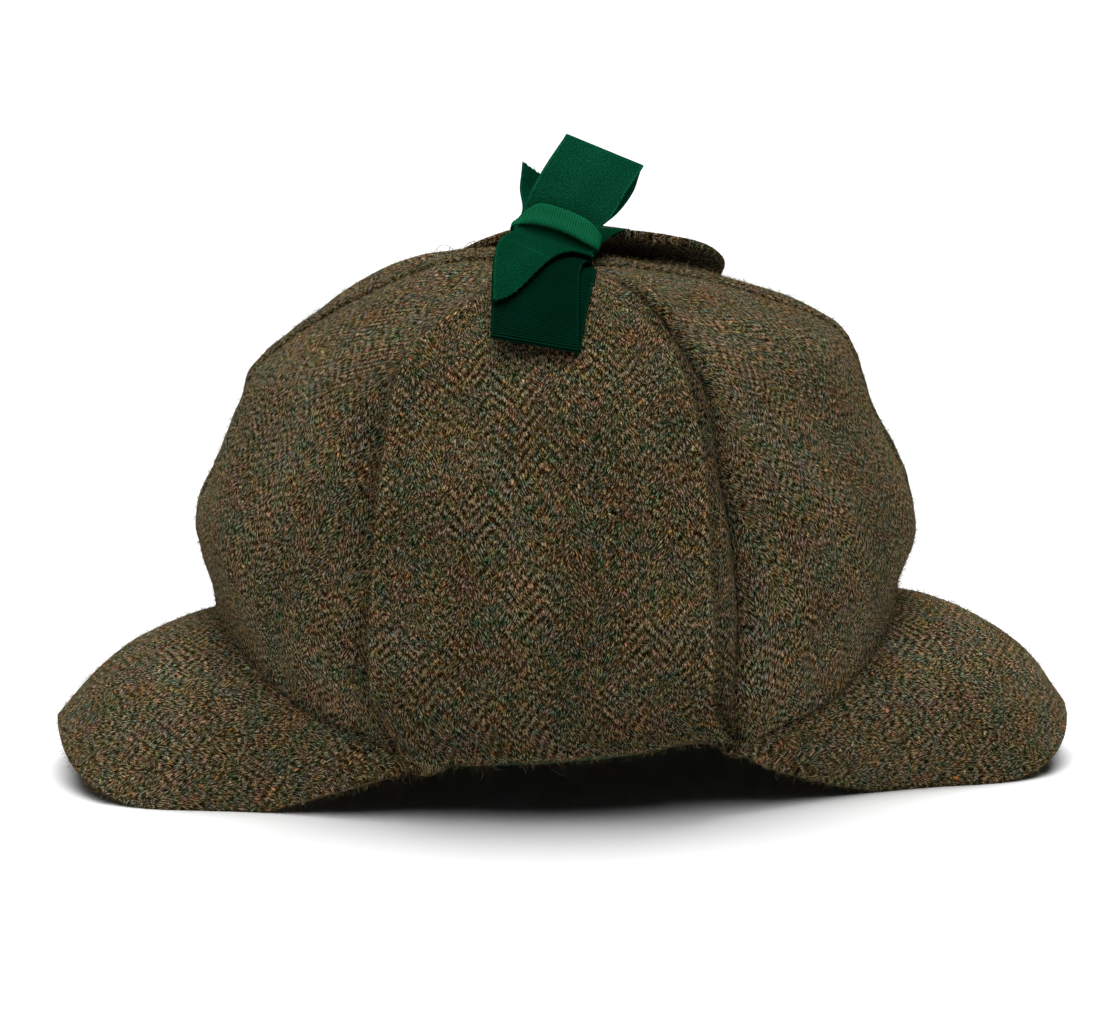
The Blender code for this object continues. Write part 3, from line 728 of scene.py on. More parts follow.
def make_threads(made):
    """The loose threads and the fleck that the photograph shows, each rooted on the cloth below it."""
    right, up, _ = view_axes()
    rng = np.random.default_rng(THREAD_SEED)
    kinds = {kind: [] for kind in THREAD_KINDS}
    for node, across, rise_in_view, bearing, length, rise, ends_on_cloth, kind in THREADS:
        _, outer, normals, _ = made[node]
        away = np.linalg.norm(in_view(outer) - (across, rise_in_view), axis=-1)
        at = np.unravel_index(away.argmin(), away.shape)
        root, normal = outer[at], unit(normals[at])
        bearing = np.radians(bearing)
        heading = right * np.cos(bearing) + up * np.sin(bearing)
        heading = unit(heading - normal * heading.dot(normal))
        share = np.linspace(0.0, 1.0, THREAD_POINTS)[:, None]
        lifted = np.sin(np.pi * share) if ends_on_cloth else share**1.5
        aside = np.cross(normal, heading)
        wander = np.sin(share * rng.uniform(*THREAD_CURL) + rng.uniform(*THREAD_CURL_START)) * THREAD_WANDER
        wander = aside * wander * np.minimum(share * 4, 1)
        path = root - normal * THREAD_ROOT + heading * length * share + normal * rise * lifted + wander
        path[:, 2] = np.maximum(path[:, 2], LOWEST + THREAD_CLEAR)
        kinds[kind].append(tube(path, THREAD_KINDS[kind][0], aside))
    for kind, tubes in kinds.items():
        _, colour, slot = THREAD_KINDS[kind]
        material = thread_material("thread_" + kind, colour)
        tubes_piece("loose_threads_" + kind, tubes, material)


FRAYED = {
    # threads at a ribbon's cut end, the least and the greatest length, how far they spread
    "bow_tail_front": (46, 0.3, 1.3, 0.7),
    "bow_tail_back": (60, 0.5, 2.4, 0.9),
}
FRAY_RADIUS, FRAY_ROOT, FRAY_BEND = 0.055, 0.4, 0.3
FRAY_POINTS, FRAY_INSET = 5, 3  # places along a thread, and lines between it and the ribbon's edge


def make_fray(name, outer, material):
    """Loose warp threads at a ribbon's cut end."""
    count, shortest, longest, spread = FRAYED[name]
    rng = np.random.default_rng(len(name))
    end, before = outer[-1], outer[-6]
    tubes = []
    for _ in range(count):
        column = rng.integers(FRAY_INSET, outer.shape[1] - FRAY_INSET)
        onward = unit(end[column] - before[column])
        across = unit(end[column + 1] - end[column])
        heading = unit(onward + across * rng.normal(0.0, spread / 2) + rng.normal(0.0, spread / 3, 3))
        length = shortest + (longest - shortest) * rng.uniform() ** 2
        share = np.linspace(0.0, 1.0, FRAY_POINTS)[:, None]
        bend = across * rng.normal(0.0, FRAY_BEND) * share**2 * length
        path = end[column] - onward * FRAY_ROOT + (heading * length + onward * FRAY_ROOT) * share + bend
        tubes.append(tube(path, FRAY_RADIUS, np.cross(onward, across)))
    tubes_piece(name + "_fray", tubes, material)


# Materials.


def node_sum(operation, turned_round=False):
    """A method that puts a value and another one through a new maths node."""

    def method(value, *other):
        return value.nodes.math(operation, *((*other, value) if turned_round else (value, *other)))

    return method


class Value:
    """A number, vector or colour that a node gives. Sums with it are nodes of the same material."""

    def __init__(self, nodes, socket):
        self.nodes, self.socket = nodes, socket

    __add__, __radd__ = node_sum("ADD"), node_sum("ADD", True)
    __sub__, __rsub__ = node_sum("SUBTRACT"), node_sum("SUBTRACT", True)
    __mul__, __truediv__ = node_sum("MULTIPLY"), node_sum("DIVIDE")
    __pow__, __rpow__ = node_sum("POWER"), node_sum("POWER", True)
    __abs__ = node_sum("ABSOLUTE")


class Nodes:
    """A material's node tree. Inputs may be numbers, tuples or Values."""

    def __init__(self, name):
        self.material = bpy.data.materials.new(name)
        self.material.use_nodes = True
        self.tree = self.material.node_tree
        self.shader = self.tree.nodes["Principled BSDF"]

    def put(self, socket, value):
        if isinstance(value, Value):
            self.tree.links.new(value.socket, socket)
        else:
            socket.default_value = value

    def node(self, kind, inputs=(), **settings):
        made = self.tree.nodes.new(kind)
        for key, value in settings.items():
            setattr(made, key, value)
        for key, value in dict(inputs).items():
            self.put(made.inputs[key], value)
        return made

    def values(self, kind, inputs=(), **settings):
        """What a new node gives."""
        return [Value(self, socket) for socket in self.node(kind, inputs, **settings).outputs]

    def math(self, operation, *values, clamp=False):
        return self.values("ShaderNodeMath", enumerate(values), operation=operation, use_clamp=clamp)[0]

    def vector(self, operation, *values):
        return self.values("ShaderNodeVectorMath", enumerate(values), operation=operation)[0]

    def joined(self, x, y, z=0.0):
        return self.values("ShaderNodeCombineXYZ", {0: x, 1: y, 2: z})[0]

    def parts(self, vector):
        return self.values("ShaderNodeSeparateXYZ", {0: vector})

    def map(self, name):
        return self.values("ShaderNodeUVMap", uv_map=name)[0]

    def pick(self, share, a, b):
        """The number a where share is 0 and b where it is 1."""
        return a + share * (b - a)

    def bell(self, value, middle, width):
        """1 where the value is the middle one, falling off over the width."""
        away = (value - middle) / width
        return self.math("EXPONENT", away * away * -1.0)

    def ridges(self, value, spacing):
        """From 0 between round ridges this far apart to 1 on each of them."""
        return abs(self.math("SINE", value * (float(np.pi) / spacing)))

    def noise(self, vector, scale, detail=2.0, roughness=0.5, dimensions="2D"):
        """A soft random number and colour."""
        inputs = {"Vector": vector, "Scale": scale, "Detail": detail, "Roughness": roughness}
        made = self.node("ShaderNodeTexNoise", inputs)
        made.noise_dimensions = dimensions
        return [Value(self, socket) for socket in made.outputs]

    def chances(self, vector):
        """Three numbers between 0 and 1 that are random for each vector."""
        made = self.values("ShaderNodeTexWhiteNoise", {"Vector": vector}, noise_dimensions="3D")
        return self.parts(made[1])

    def ramp(self, value, stops, interpolation="LINEAR"):
        made = self.node("ShaderNodeValToRGB", {0: value})
        made.color_ramp.interpolation = interpolation
        elements = made.color_ramp.elements
        while len(elements) > len(stops):
            elements.remove(elements[-1])
        while len(elements) < len(stops):
            elements.new(1.0)
        for element, (position, colour) in zip(elements, stops):
            element.position = position
            element.color = (*colour, 1.0)
        return Value(self, made.outputs[0])

    def mix(self, share, a, b):
        """The colour a where share is 0 and b where it is 1."""
        made = self.node("ShaderNodeMix", data_type="RGBA")
        for number, value in zip((0, 6, 7), (share, a, b)):
            self.put(made.inputs[number], value)
        return Value(self, made.outputs[2])

    def shaded(self, colour, shade):
        return self.vector("MULTIPLY", colour, self.joined(shade, shade, shade))

    def finish(self, colour, height=None, depth=0.0003, bump=1.0, roughness=0.95, level=0.0, sheen=0.0):
        """Set the surface: its colour, its relief and the relief's depth in metres, and its gloss."""
        settings = {
            "Base Color": colour,
            "Roughness": roughness,
            "Specular IOR Level": level,
            "Sheen Weight": sheen,
            "Sheen Roughness": SHEEN_ROUGHNESS,
            "Sheen Tint": (*(SHEEN_TINT if sheen else WHITE), 1.0),
        }
        if height is not None:
            relief = self.values("ShaderNodeBump", {"Height": height, "Strength": bump, "Distance": depth})
            settings["Normal"] = relief[0]
        for key, value in settings.items():
            self.put(self.shader.inputs[key], value)
        return self.material


def srgb(red, green, blue):
    """Linear colour of a display colour in 0 to 255."""
    values = np.array((red, green, blue)) / 255.0
    linear = np.where(values <= 0.04045, values / 12.92, ((values + 0.055) / 1.055) ** 2.4)
    return tuple(float(value) for value in linear)


WHITE = (1.0, 1.0, 1.0)
SHEEN_TINT, SHEEN_ROUGHNESS = srgb(190, 170, 130), 0.45

# The tweed. Sizes are in millimetres and herringbone bands in yarns.
HERRINGBONE_YARNS = 9.0
FLOAT_YARNS, REPEAT_YARNS = 2.0, 4.0  # each yarn passes over two others and then under two
# Scale of the noise, and how far it moves the yarns.
SLOW_WANDER, FAST_WANDER = (0.07, 2.2), (1.1, 0.85)
YARN_SHARPNESS, FLOAT_SHARPNESS = 0.6, 4.0  # how a yarn is rounded across it and along its floats
TWILL_CLEAR, TWILL_HIDDEN = 2.6, 0.7
FIBRE_SLANT = 22.0
# Width, length and offset of the pattern of each kind of fibre.
TUFTS, HAIRS, DYED = (0.4, 1.7, 0.0), (0.24, 1.3, 41.0), (1.0, 2.6, 83.0)
SPECK_SCALE, PATCH_SCALE, TINGE_SCALE, TWILL_SCALE, BROAD_SCALE = 2.6, 0.36, 0.09, 0.045, 0.035
# How much each kind of unevenness lightens the wool, in steps of doubling; the yarns' term is painted light
# and shade of their roundness.
TUFT_LIGHT, HAIR_LIGHT, SPECK_LIGHT, YARN_LIGHT, PATCH_LIGHT, BROAD_LIGHT = 8.2, 8.4, 5.0, 0.7, 2.0, 1.3
MIDDLE_LIGHT = -0.85
LIGHTEST = 4.8
PALENESS_OF_LIGHT, MIDDLE_PALENESS = 0.28, 0.6
# How far the wool's hue strays from fibre to fibre, from patch to patch and over broad patches.
FIBRE_HUE, PATCH_HUE, BROAD_HUE = 0.4, 1.35, 0.85
DARK_VIVIDNESS, PALE_LOSS = 1.3, 0.8
# What a step towards teal, rust or grey does to the red, green and blue.
RED_LESS_TEAL, GREEN_BY_TEAL, GREEN_LESS_RUST, BLUE_BY_GREY, BLUE_LESS_RUST = 0.85, 0.3, 0.06, 1.15, 0.75
# The green and blue of the palest wool over the darkest, and of the darkest wool.
GREEN_BY_PALENESS, BLUE_BY_PALENESS = (0.22, 0.84), (1.1, 0.25)
YARN_RELIEF, TUFT_RELIEF, HAIR_RELIEF = 0.6, 1.2, 0.5
# Painted shade lines in a seam's groove and along a strong seam's edge, where the cloth steps down: how dark,
# how far from the seam, and how wide.
SEAM_LINE, EDGE_LINE, LINE_WANDER = (0.7, 0.0, 1.2), (0.8, 5.6, 0.85), 0.3
TWEED_COLOUR = srgb(72, 64, 45)
TWEED_LEAST = (0.25, 0.4, 0.2)
FLECK_SHARE, FLECK_STRENGTH = 0.06, 0.4
FLECK_COLOURS = (
    (0.00, srgb(130, 82, 34)),
    (0.30, srgb(150, 128, 84)),
    (0.52, srgb(36, 70, 56)),
    (0.76, srgb(74, 84, 40)),
    (0.92, srgb(140, 72, 32)),
)


def tweed_material(name, contrast, twill, painted_light, yarns):
    """Herringbone twill of mottled wool, milled so that slanting fibres all but hide the weave."""
    n = Nodes(name)
    flat = n.map("cloth")
    # The seam map holds how far a place is from a seam, and its painted shade.
    from_seam, painted_shade, _ = n.parts(n.map("seam"))
    slow, fast = (n.parts(n.noise(flat, scale, 1.0)[1]) for scale, _ in (SLOW_WANDER, FAST_WANDER))
    leaning = [value + (part - 0.5) * SLOW_WANDER[1] for value, part in zip(n.parts(flat)[:2], slow)]
    wandered = [value + (part - 0.5) * FAST_WANDER[1] for value, part in zip(leaning, fast)]
    cells = [value / spacing for value, spacing in zip(wandered, yarns)]
    i, j = (n.math("FLOOR", value) for value in cells)
    in_i, in_j = (n.math("FRACT", value) for value in cells)
    mirrored = n.math("FLOORED_MODULO", n.math("FLOOR", i / HERRINGBONE_YARNS), 2.0)
    sign = 1.0 - mirrored * 2.0
    phase = n.math("FLOORED_MODULO", sign * i + j, REPEAT_YARNS)
    warp_up = n.math("LESS_THAN", phase, FLOAT_YARNS - 0.5)
    weft_step = n.pick(mirrored, phase - FLOAT_YARNS, REPEAT_YARNS - 1.0 - phase)
    along = n.pick(warp_up, weft_step + in_i, phase + in_j) / FLOAT_YARNS
    across = n.pick(warp_up, in_j, in_i)
    yarn = n.joined(n.pick(warp_up, i - weft_step, i), n.pick(warp_up, j, j - phase), warp_up)
    fleck, fleck_colour, _ = n.chances(yarn)
    height = (1.0 - abs(across * 2.0 - 1.0) ** 2.0) ** YARN_SHARPNESS
    height = height * (1.0 - abs(along * 2.0 - 1.0) ** FLOAT_SHARPNESS)
    # The twill's diagonal lines, clearer in some places than in others.
    diagonal = n.math("COSINE", (sign * cells[0] + cells[1]) * (2.0 * float(np.pi) / REPEAT_YARNS))
    diagonal = diagonal * (n.noise(flat, TWILL_SCALE, 1.0)[0] * TWILL_CLEAR - TWILL_HIDDEN)
    # Fibres lean one way in one band of the herringbone and the other way in the next.
    c, s = (float(value) for value in cos_sin(FIBRE_SLANT))
    leaned = sign * s
    aside = leaning[0] * c - leaning[1] * leaned
    onward = leaning[1] * c + leaning[0] * leaned

    def fibres(width, length, offset):
        return n.noise(n.joined(aside / width + offset, onward / length), 1.0, 1.0)

    tufts, hairs = fibres(*TUFTS)[0], fibres(*HAIRS)[0]
    specks, broad = n.noise(flat, SPECK_SCALE, 1.0)[0], n.noise(flat, BROAD_SCALE)[0]
    patches, tinged = n.noise(flat, PATCH_SCALE), n.noise(flat, TINGE_SCALE)
    light = (tufts - 0.5) * TUFT_LIGHT + (hairs - 0.5) * HAIR_LIGHT + (specks - 0.5) * SPECK_LIGHT
    # Each part's own lightness is painted light and shade on the one tweed.
    # The yarns are lighter on top and darker in their hollows as painted light and shade.
    light = light * contrast + (height - 0.5) * YARN_LIGHT + diagonal * twill + (MIDDLE_LIGHT + painted_light)
    light = light + (patches[0] - 0.5) * PATCH_LIGHT + (broad - 0.5) * BROAD_LIGHT
    paleness = n.math("ADD", light * PALENESS_OF_LIGHT, MIDDLE_PALENESS, clamp=True)
    # The wool's colour strays in three ways, and pale wool strays less: rust, teal, and grey against gold.
    hues = ((fibres(*DYED)[1], FIBRE_HUE), (patches[1], PATCH_HUE), (tinged[1], BROAD_HUE))
    ways = zip(*([(part - 0.5) * most for part in n.parts(colour)] for colour, most in hues))
    vividness = DARK_VIVIDNESS - paleness * PALE_LOSS
    rust, teal, grey = ((fibre + patch + broadly) * vividness for fibre, patch, broadly in ways)
    red = rust - teal * RED_LESS_TEAL + 1.0
    green = teal * GREEN_BY_TEAL - rust * GREEN_LESS_RUST + 1.0
    blue = grey * BLUE_BY_GREY - rust * BLUE_LESS_RUST + 1.0
    colour = n.vector("MAXIMUM", n.joined(red, green, blue), TWEED_LEAST)
    colour = n.vector("MULTIPLY", colour, TWEED_COLOUR)
    flecked = n.math("GREATER_THAN", fleck, 1.0 - FLECK_SHARE) * (height * FLECK_STRENGTH)
    colour = n.mix(flecked, colour, n.ramp(fleck_colour, FLECK_COLOURS, "CONSTANT"))
    # Dark wool is a warmer brown, and the lightest is greyer.
    green, blue = (paleness * gain + darkest for gain, darkest in (GREEN_BY_PALENESS, BLUE_BY_PALENESS))
    colour = n.vector("MULTIPLY", colour, n.joined(1.0, green, blue))
    light = n.math("MINIMUM", 2.0**light, LIGHTEST)
    # Painted shade: dark lines in the seams' grooves, along strong seams' edges and along the rim, and the
    # shade that the seam map holds.
    seam_at = from_seam + (fast[2] - 0.5) * LINE_WANDER
    in_seam, along_edge = (n.bell(seam_at, at, width) * dark for dark, at, width in (SEAM_LINE, EDGE_LINE))
    light = light * (1.0 - (in_seam + along_edge)) * (1.0 - painted_shade)
    relief = height * YARN_RELIEF + tufts * TUFT_RELIEF + hairs * HAIR_RELIEF
    return n.finish(n.shaded(colour, light), relief, bump=0.6, roughness=1.0, sheen=0.08)


FUZZ_COLOURS = (
    (0.00, srgb(60, 50, 30)),
    (0.30, srgb(96, 80, 50)),
    (0.50, srgb(70, 84, 58)),
    (0.70, srgb(128, 104, 66)),
    (0.88, srgb(150, 134, 98)),
    (1.00, srgb(176, 158, 120)),
)
FUZZ_DARKEST, FUZZ_SHADES = 0.55, 0.9


def fuzz_material(name):
    """Loose wool fibres, each of one colour, from the cloth's brown to cream."""
    n = Nodes(name)
    colour, shade, _ = n.chances(n.map("cloth"))
    return n.finish(n.shaded(n.ramp(colour, FUZZ_COLOURS), shade * FUZZ_SHADES + FUZZ_DARKEST), roughness=0.8)


TWIST_SPACING = float(np.pi) / 9.0
THREAD_DARKEST, TWIST_SHADES, THREAD_MOTTLE, THREAD_MOTTLE_SCALE = 0.4, 0.35, 0.8, 2.0
THREAD_KINDS = {
    # radius, colour, slot
    "grey": (0.10, srgb(70, 68, 60), "tweed_crown"),
    "pale": (0.10, srgb(178, 168, 140), "tweed_flap"),
    "wool": (0.09, srgb(96, 82, 56), "tweed_crown"),
    "orange": (0.34, srgb(214, 124, 38), "tweed_peak"),
}


def thread_material(name, colour):
    """A twisted thread of one colour."""
    n = Nodes(name)
    u, v, _ = n.parts(n.map("cloth"))
    twist = n.ridges(v + u, TWIST_SPACING)
    mottle = n.noise(n.joined(u, v), THREAD_MOTTLE_SCALE)[0]
    shade = twist * TWIST_SHADES + THREAD_DARKEST + mottle * THREAD_MOTTLE
    return n.finish(n.shaded(colour, shade), twist, depth=0.00004, roughness=0.9)


RIB_SPACING, WARP_SPACING = 0.78, 0.26
RIB_WANDER, RIB_WANDER_SCALE, RIB_SHARPNESS = 0.25, 0.5, 0.8
# The ribs and warp threads are lighter on top and darker between: painted light and shade of their relief.
MIDDLE_HEIGHT = 0.6  # what is higher than this on a rib or a thread is lighter, and the rest is darker
WARP_SHADE, GRAIN_SCALES = 0.14, (1.7, 1.5)
WARP_RELIEF, GRAIN_RELIEF = 0.25, 0.3
RIBBON_MOTTLE, RIBBON_MOTTLE_SCALE, RIBBON_DARKEST = (0.75, 0.5), 0.08, 0.1
SELVEDGE, SELVEDGE_WIDTH, SELVEDGE_LIGHT = 0.5, 0.22, 0.6
# How far a crease moves along the ribbon for each step across it, its width, and its painted highlight.
CREASE_SLOPE, CREASE_WIDTH, CREASE_HIGHLIGHT = 0.68, 0.45, 0.8
# Round a fold the ribs open, and their painted light and shade grow this much stronger over this width.
FOLD_RIB_SHADE, FOLD_WIDTH = 1.6, 3.6  # the ribs open round a fold
# Painted shadow along the knot's lower edge, between its small loops: its width, how dark, and how much less
# on a rib.
PICOT_SHADOW_WIDTH, PICOT_SHADOW_DARKNESS, PICOT_RIBS = 3.4, 0.95, 0.4


def ribbon_material(name, colour, ribs, graininess, crease_at, fold_at=None):
    """Grosgrain: ribs across it, fine warp threads along it, light selvedges, ribs opened round a fold, and
    painted light and shade on the ribs, round the fold, on a crease and along the knot's lower edge.
    """
    n = Nodes(name)
    flat = n.map("cloth")
    u, v, _ = n.parts(flat)
    wander = n.noise(flat, RIB_WANDER_SCALE)[0] * RIB_WANDER
    rib = n.ridges(v / RIB_SPACING + wander, 1.0) ** RIB_SHARPNESS
    threads = n.ridges(u, WARP_SPACING)
    grain = n.noise(n.joined(u * GRAIN_SCALES[0], v * GRAIN_SCALES[1]), 1.0, 3.0, 0.75)[0]
    mottle = RIBBON_MOTTLE[0] + n.noise(flat, RIBBON_MOTTLE_SCALE)[0] * RIBBON_MOTTLE[1]
    # Round the lower loop's fold the ribs' painted light and shade grow stronger.
    depth = ribs if fold_at is None else ribs + n.bell(v, fold_at, FOLD_WIDTH) * FOLD_RIB_SHADE
    edge = n.bell(abs(u), RIBBON_WIDTH / 2 - SELVEDGE, SELVEDGE_WIDTH)
    # The crease is a painted highlight, brightened along with the selvedges.
    if crease_at is not None:
        edge = edge + n.bell(v - u * CREASE_SLOPE, crease_at, CREASE_WIDTH) * CREASE_HIGHLIGHT
    # Painted light and shade of the ribs and threads, then random grain and mottle.
    shade = 1.0 + (rib - MIDDLE_HEIGHT) * depth + (threads - MIDDLE_HEIGHT) * WARP_SHADE
    shade = shade + (grain - 0.5) * graininess
    shade = n.math("MAXIMUM", shade * mottle, RIBBON_DARKEST) * (1.0 + edge * SELVEDGE_LIGHT)
    if name.startswith("bow_knot"):
        # Painted shadow in the gaps between the small loops of its lower edge.
        picot_shadow = n.bell(u, -RIBBON_WIDTH / 2, PICOT_SHADOW_WIDTH) * (1.0 - rib * PICOT_RIBS)
        shade = shade * (1.0 - picot_shadow * PICOT_SHADOW_DARKNESS)
    height = rib + threads * WARP_RELIEF + grain * GRAIN_RELIEF
    return n.finish(n.shaded(colour, shade), height, depth=0.0001, bump=0.7, roughness=0.9)


LINING_COLOUR = srgb(6, 62, 40)
LINING_YARN = 0.3
# The scale of the lining's grain and broad shading, and the darkest shade and the range of all three.
LINING_GRAIN_SCALE, LINING_BROAD_SCALE = 1.5, 0.05
LINING_SHADES = ((0.6, 0.4), (0.7, 0.6), (0.8, 0.4))
LINING_GRAIN_RELIEF = 0.4


def lining_material(name):
    """A plain weave with low sheen."""
    n = Nodes(name)
    flat = n.map("cloth")
    u, v, _ = n.parts(flat)
    weave = (n.ridges(u, LINING_YARN) + n.ridges(v, LINING_YARN)) * 0.5
    grain, broad = n.noise(flat, LINING_GRAIN_SCALE, 3.0)[0], n.noise(flat, LINING_BROAD_SCALE)[0]
    of_weave, of_grain, of_broad = (
        darkest + value * gain for value, (darkest, gain) in zip((weave, grain, broad), LINING_SHADES)
    )
    shade = of_weave * of_grain * of_broad
    height = weave + grain * LINING_GRAIN_RELIEF
    return n.finish(n.shaded(LINING_COLOUR, shade), height, depth=0.0001, bump=0.7, roughness=0.8, level=0.1)


FLOOR_SHADE, FLOOR_MOTTLE, FLOOR_MOTTLE_SCALE = 0.895, 0.01, 40.0


def floor_material():
    n = Nodes("studio_floor")
    place = Value(n, n.node("ShaderNodeTexCoord").outputs["Object"])
    shade = FLOOR_SHADE + n.noise(place, FLOOR_MOTTLE_SCALE, dimensions="3D")[0] * FLOOR_MOTTLE
    return n.finish(n.shaded(WHITE, shade), roughness=0.9, level=0.1)


# Pieces.

# How far each gore's herringbone is turned from its middle line.
GORE_ANGLES = {
    "crown_back_right": -12.0,
    "crown_side_right": 4.0,
    "crown_front_right": 14.0,
    "crown_front_left": 12.0,
    "crown_side_left": 3.0,
    "crown_back_left": -14.0,
}
GORE_EVEN, RIM_EVEN, FLAP_EVEN = 12.0, 15.0, 10.0  # nearer than this to a seam, rim or edge, less uneven
STRONG_FROM, STRONG_FADE = 0.15, 0.2  # the levels over which a strong seam begins
PUCKER_HEIGHT, PUCKER_SPACING, PUCKER_WANDER, PUCKER_WIDTH = 0.28, 1.9, 2.5, 4.5
PUCKER_WAVE, PUCKER_SEED, PUCKER_START = 30.0, 8, 1.5
# The dark lines along the rim and along a strong seam's edge are painted shade.
RIM_LINE_LESS = 0.6  # the dark line along the rim is weaker than a seam's, as if this far from one
NO_STEP_LINE = 3.6  # a weak seam's distances stop here, short of the dark line along a strong one's edge
PEAK_REACH, PEAK_REACH_FADE = 56.0, 14.0  # how far round the rim a peak reaches, in degrees of turn
RIM_FLARE, RIM_FLARE_HEIGHT, RIM_FLARE_DROP = 3.0, 10.0, 0.75
# Painted shade beside a seam, along the rim on a peak, on a peak by the crown and on the crown beside a flap:
# how dark, and over what distance; at most the darkest below.
SEAM_SHADE, RIM_SHADE, PEAK_SHADE = (0.22, 4.0), (0.35, 2.5), (0.4, 4.5)
FLAP_SHADES = ((0.62, 5.0), (0.3, 9.0))
DARKEST = 0.9


def shaded_by(away, shade):
    strength, width = shade
    return strength * hump(away, width)


def no_seams(shade):
    """What the map named "seam" holds where there are no seams, with this painted shade."""
    return stacked(np.full_like(shade, FAR_FROM_SEAM), shade)


# Relief beside a seam: the height or depth of each part of it, where it is, and its width.
SEAM_PUFF, SEAM_GROOVE = (0.6, 3.4, 2.6), (0.95, 0.0, 1.0)
SEAM_STEP, STEP_FOOT = (0.8, 5.1, 0.3), (0.45, 5.9, 0.8)


def seam_profile(from_seam, strong):
    """The cloth turns in at a seam, and where it is strong it lies over its turned-in edge beside it."""
    puff, groove, foot = (
        height * hump(from_seam - at, width) for height, at, width in (SEAM_PUFF, SEAM_GROOVE, STEP_FOOT)
    )
    height, at, width = SEAM_STEP
    step = height / (1.0 + np.exp((from_seam - at) / width))
    return puff - groove + strong * (step - foot)


def nearest_distance(places, points):
    """How far each place is from the nearest of the points."""
    flat = places.reshape(-1, 3)
    nearest = np.full(len(flat), np.inf)
    for point in points:
        nearest = np.minimum(nearest, np.linalg.norm(flat - point, axis=1))
    return nearest.reshape(places.shape[:-1])


def rises(name, shares):
    """Rises up a flap, at these shares of the way from its lower edge to its upper one."""
    lowest, highest = FLAP_ROWS[name][0][0], FLAP_ROWS[name][-1][0]
    return lowest + shares * (highest - lowest)


def flap_outline(name):
    """Points of the crown under a flap's two long edges."""
    share, rise = np.meshgrid((0.0, 1.0), rises(name, np.linspace(0.0, 1.0, 90)))
    row = curve_through(FLAP_ROWS[name], rise)
    side = -1.0 if name == "ear_flap_left" else 1.0
    turn, level = place_on_side(row[..., 1] + (row[..., 2] - row[..., 1]) * share, rise, side)
    relief = crown_relief(turn, level)[..., None]
    return (smooth_crown(turn, level) + crown_normal(turn, level) * relief).reshape(-1, 3)


RIM_LINE = (
    # along the hat, and how far the rim of its near side is lifted there
    (-62.0, 0.0), (-55.0, -5.0), (-50.0, -9.5), (-46.5, -9.3), (-43.7, -8.5), (-41.0, -6.2), (-37.5, -2.8),
    (-31.0, -1.7), (-25.0, -0.6), (-12.0, 0.7), (0.0, 1.8), (12.0, 2.4), (19.0, 2.9), (25.0, 3.5),
    (31.0, 3.9), (37.0, 3.2), (41.0, 1.1), (44.0, -0.5), (47.0, -3.7), (50.0, -4.4), (53.0, -2.6),
    (64.0, 0.0),
)
RIM_LINE_HEIGHT, RIM_LINE_FADE = 19.0, 26.0
NEAR_SIDE, NEAR_SIDE_FADE = 40.0, 30.0


def rim_lift(places):
    """How far cloth at these places is lifted for the uneven line of the near side's rim."""
    lift = curve_through(RIM_LINE, np.clip(places[..., 0], RIM_LINE[0][0], RIM_LINE[-1][0]))[..., 1]
    low = clipped(1.0 - (places[..., 2] - RIM_LINE_HEIGHT) / RIM_LINE_FADE) ** 1.5
    return lift * low * clipped((-places[..., 1] - NEAR_SIDE) / NEAR_SIDE_FADE)


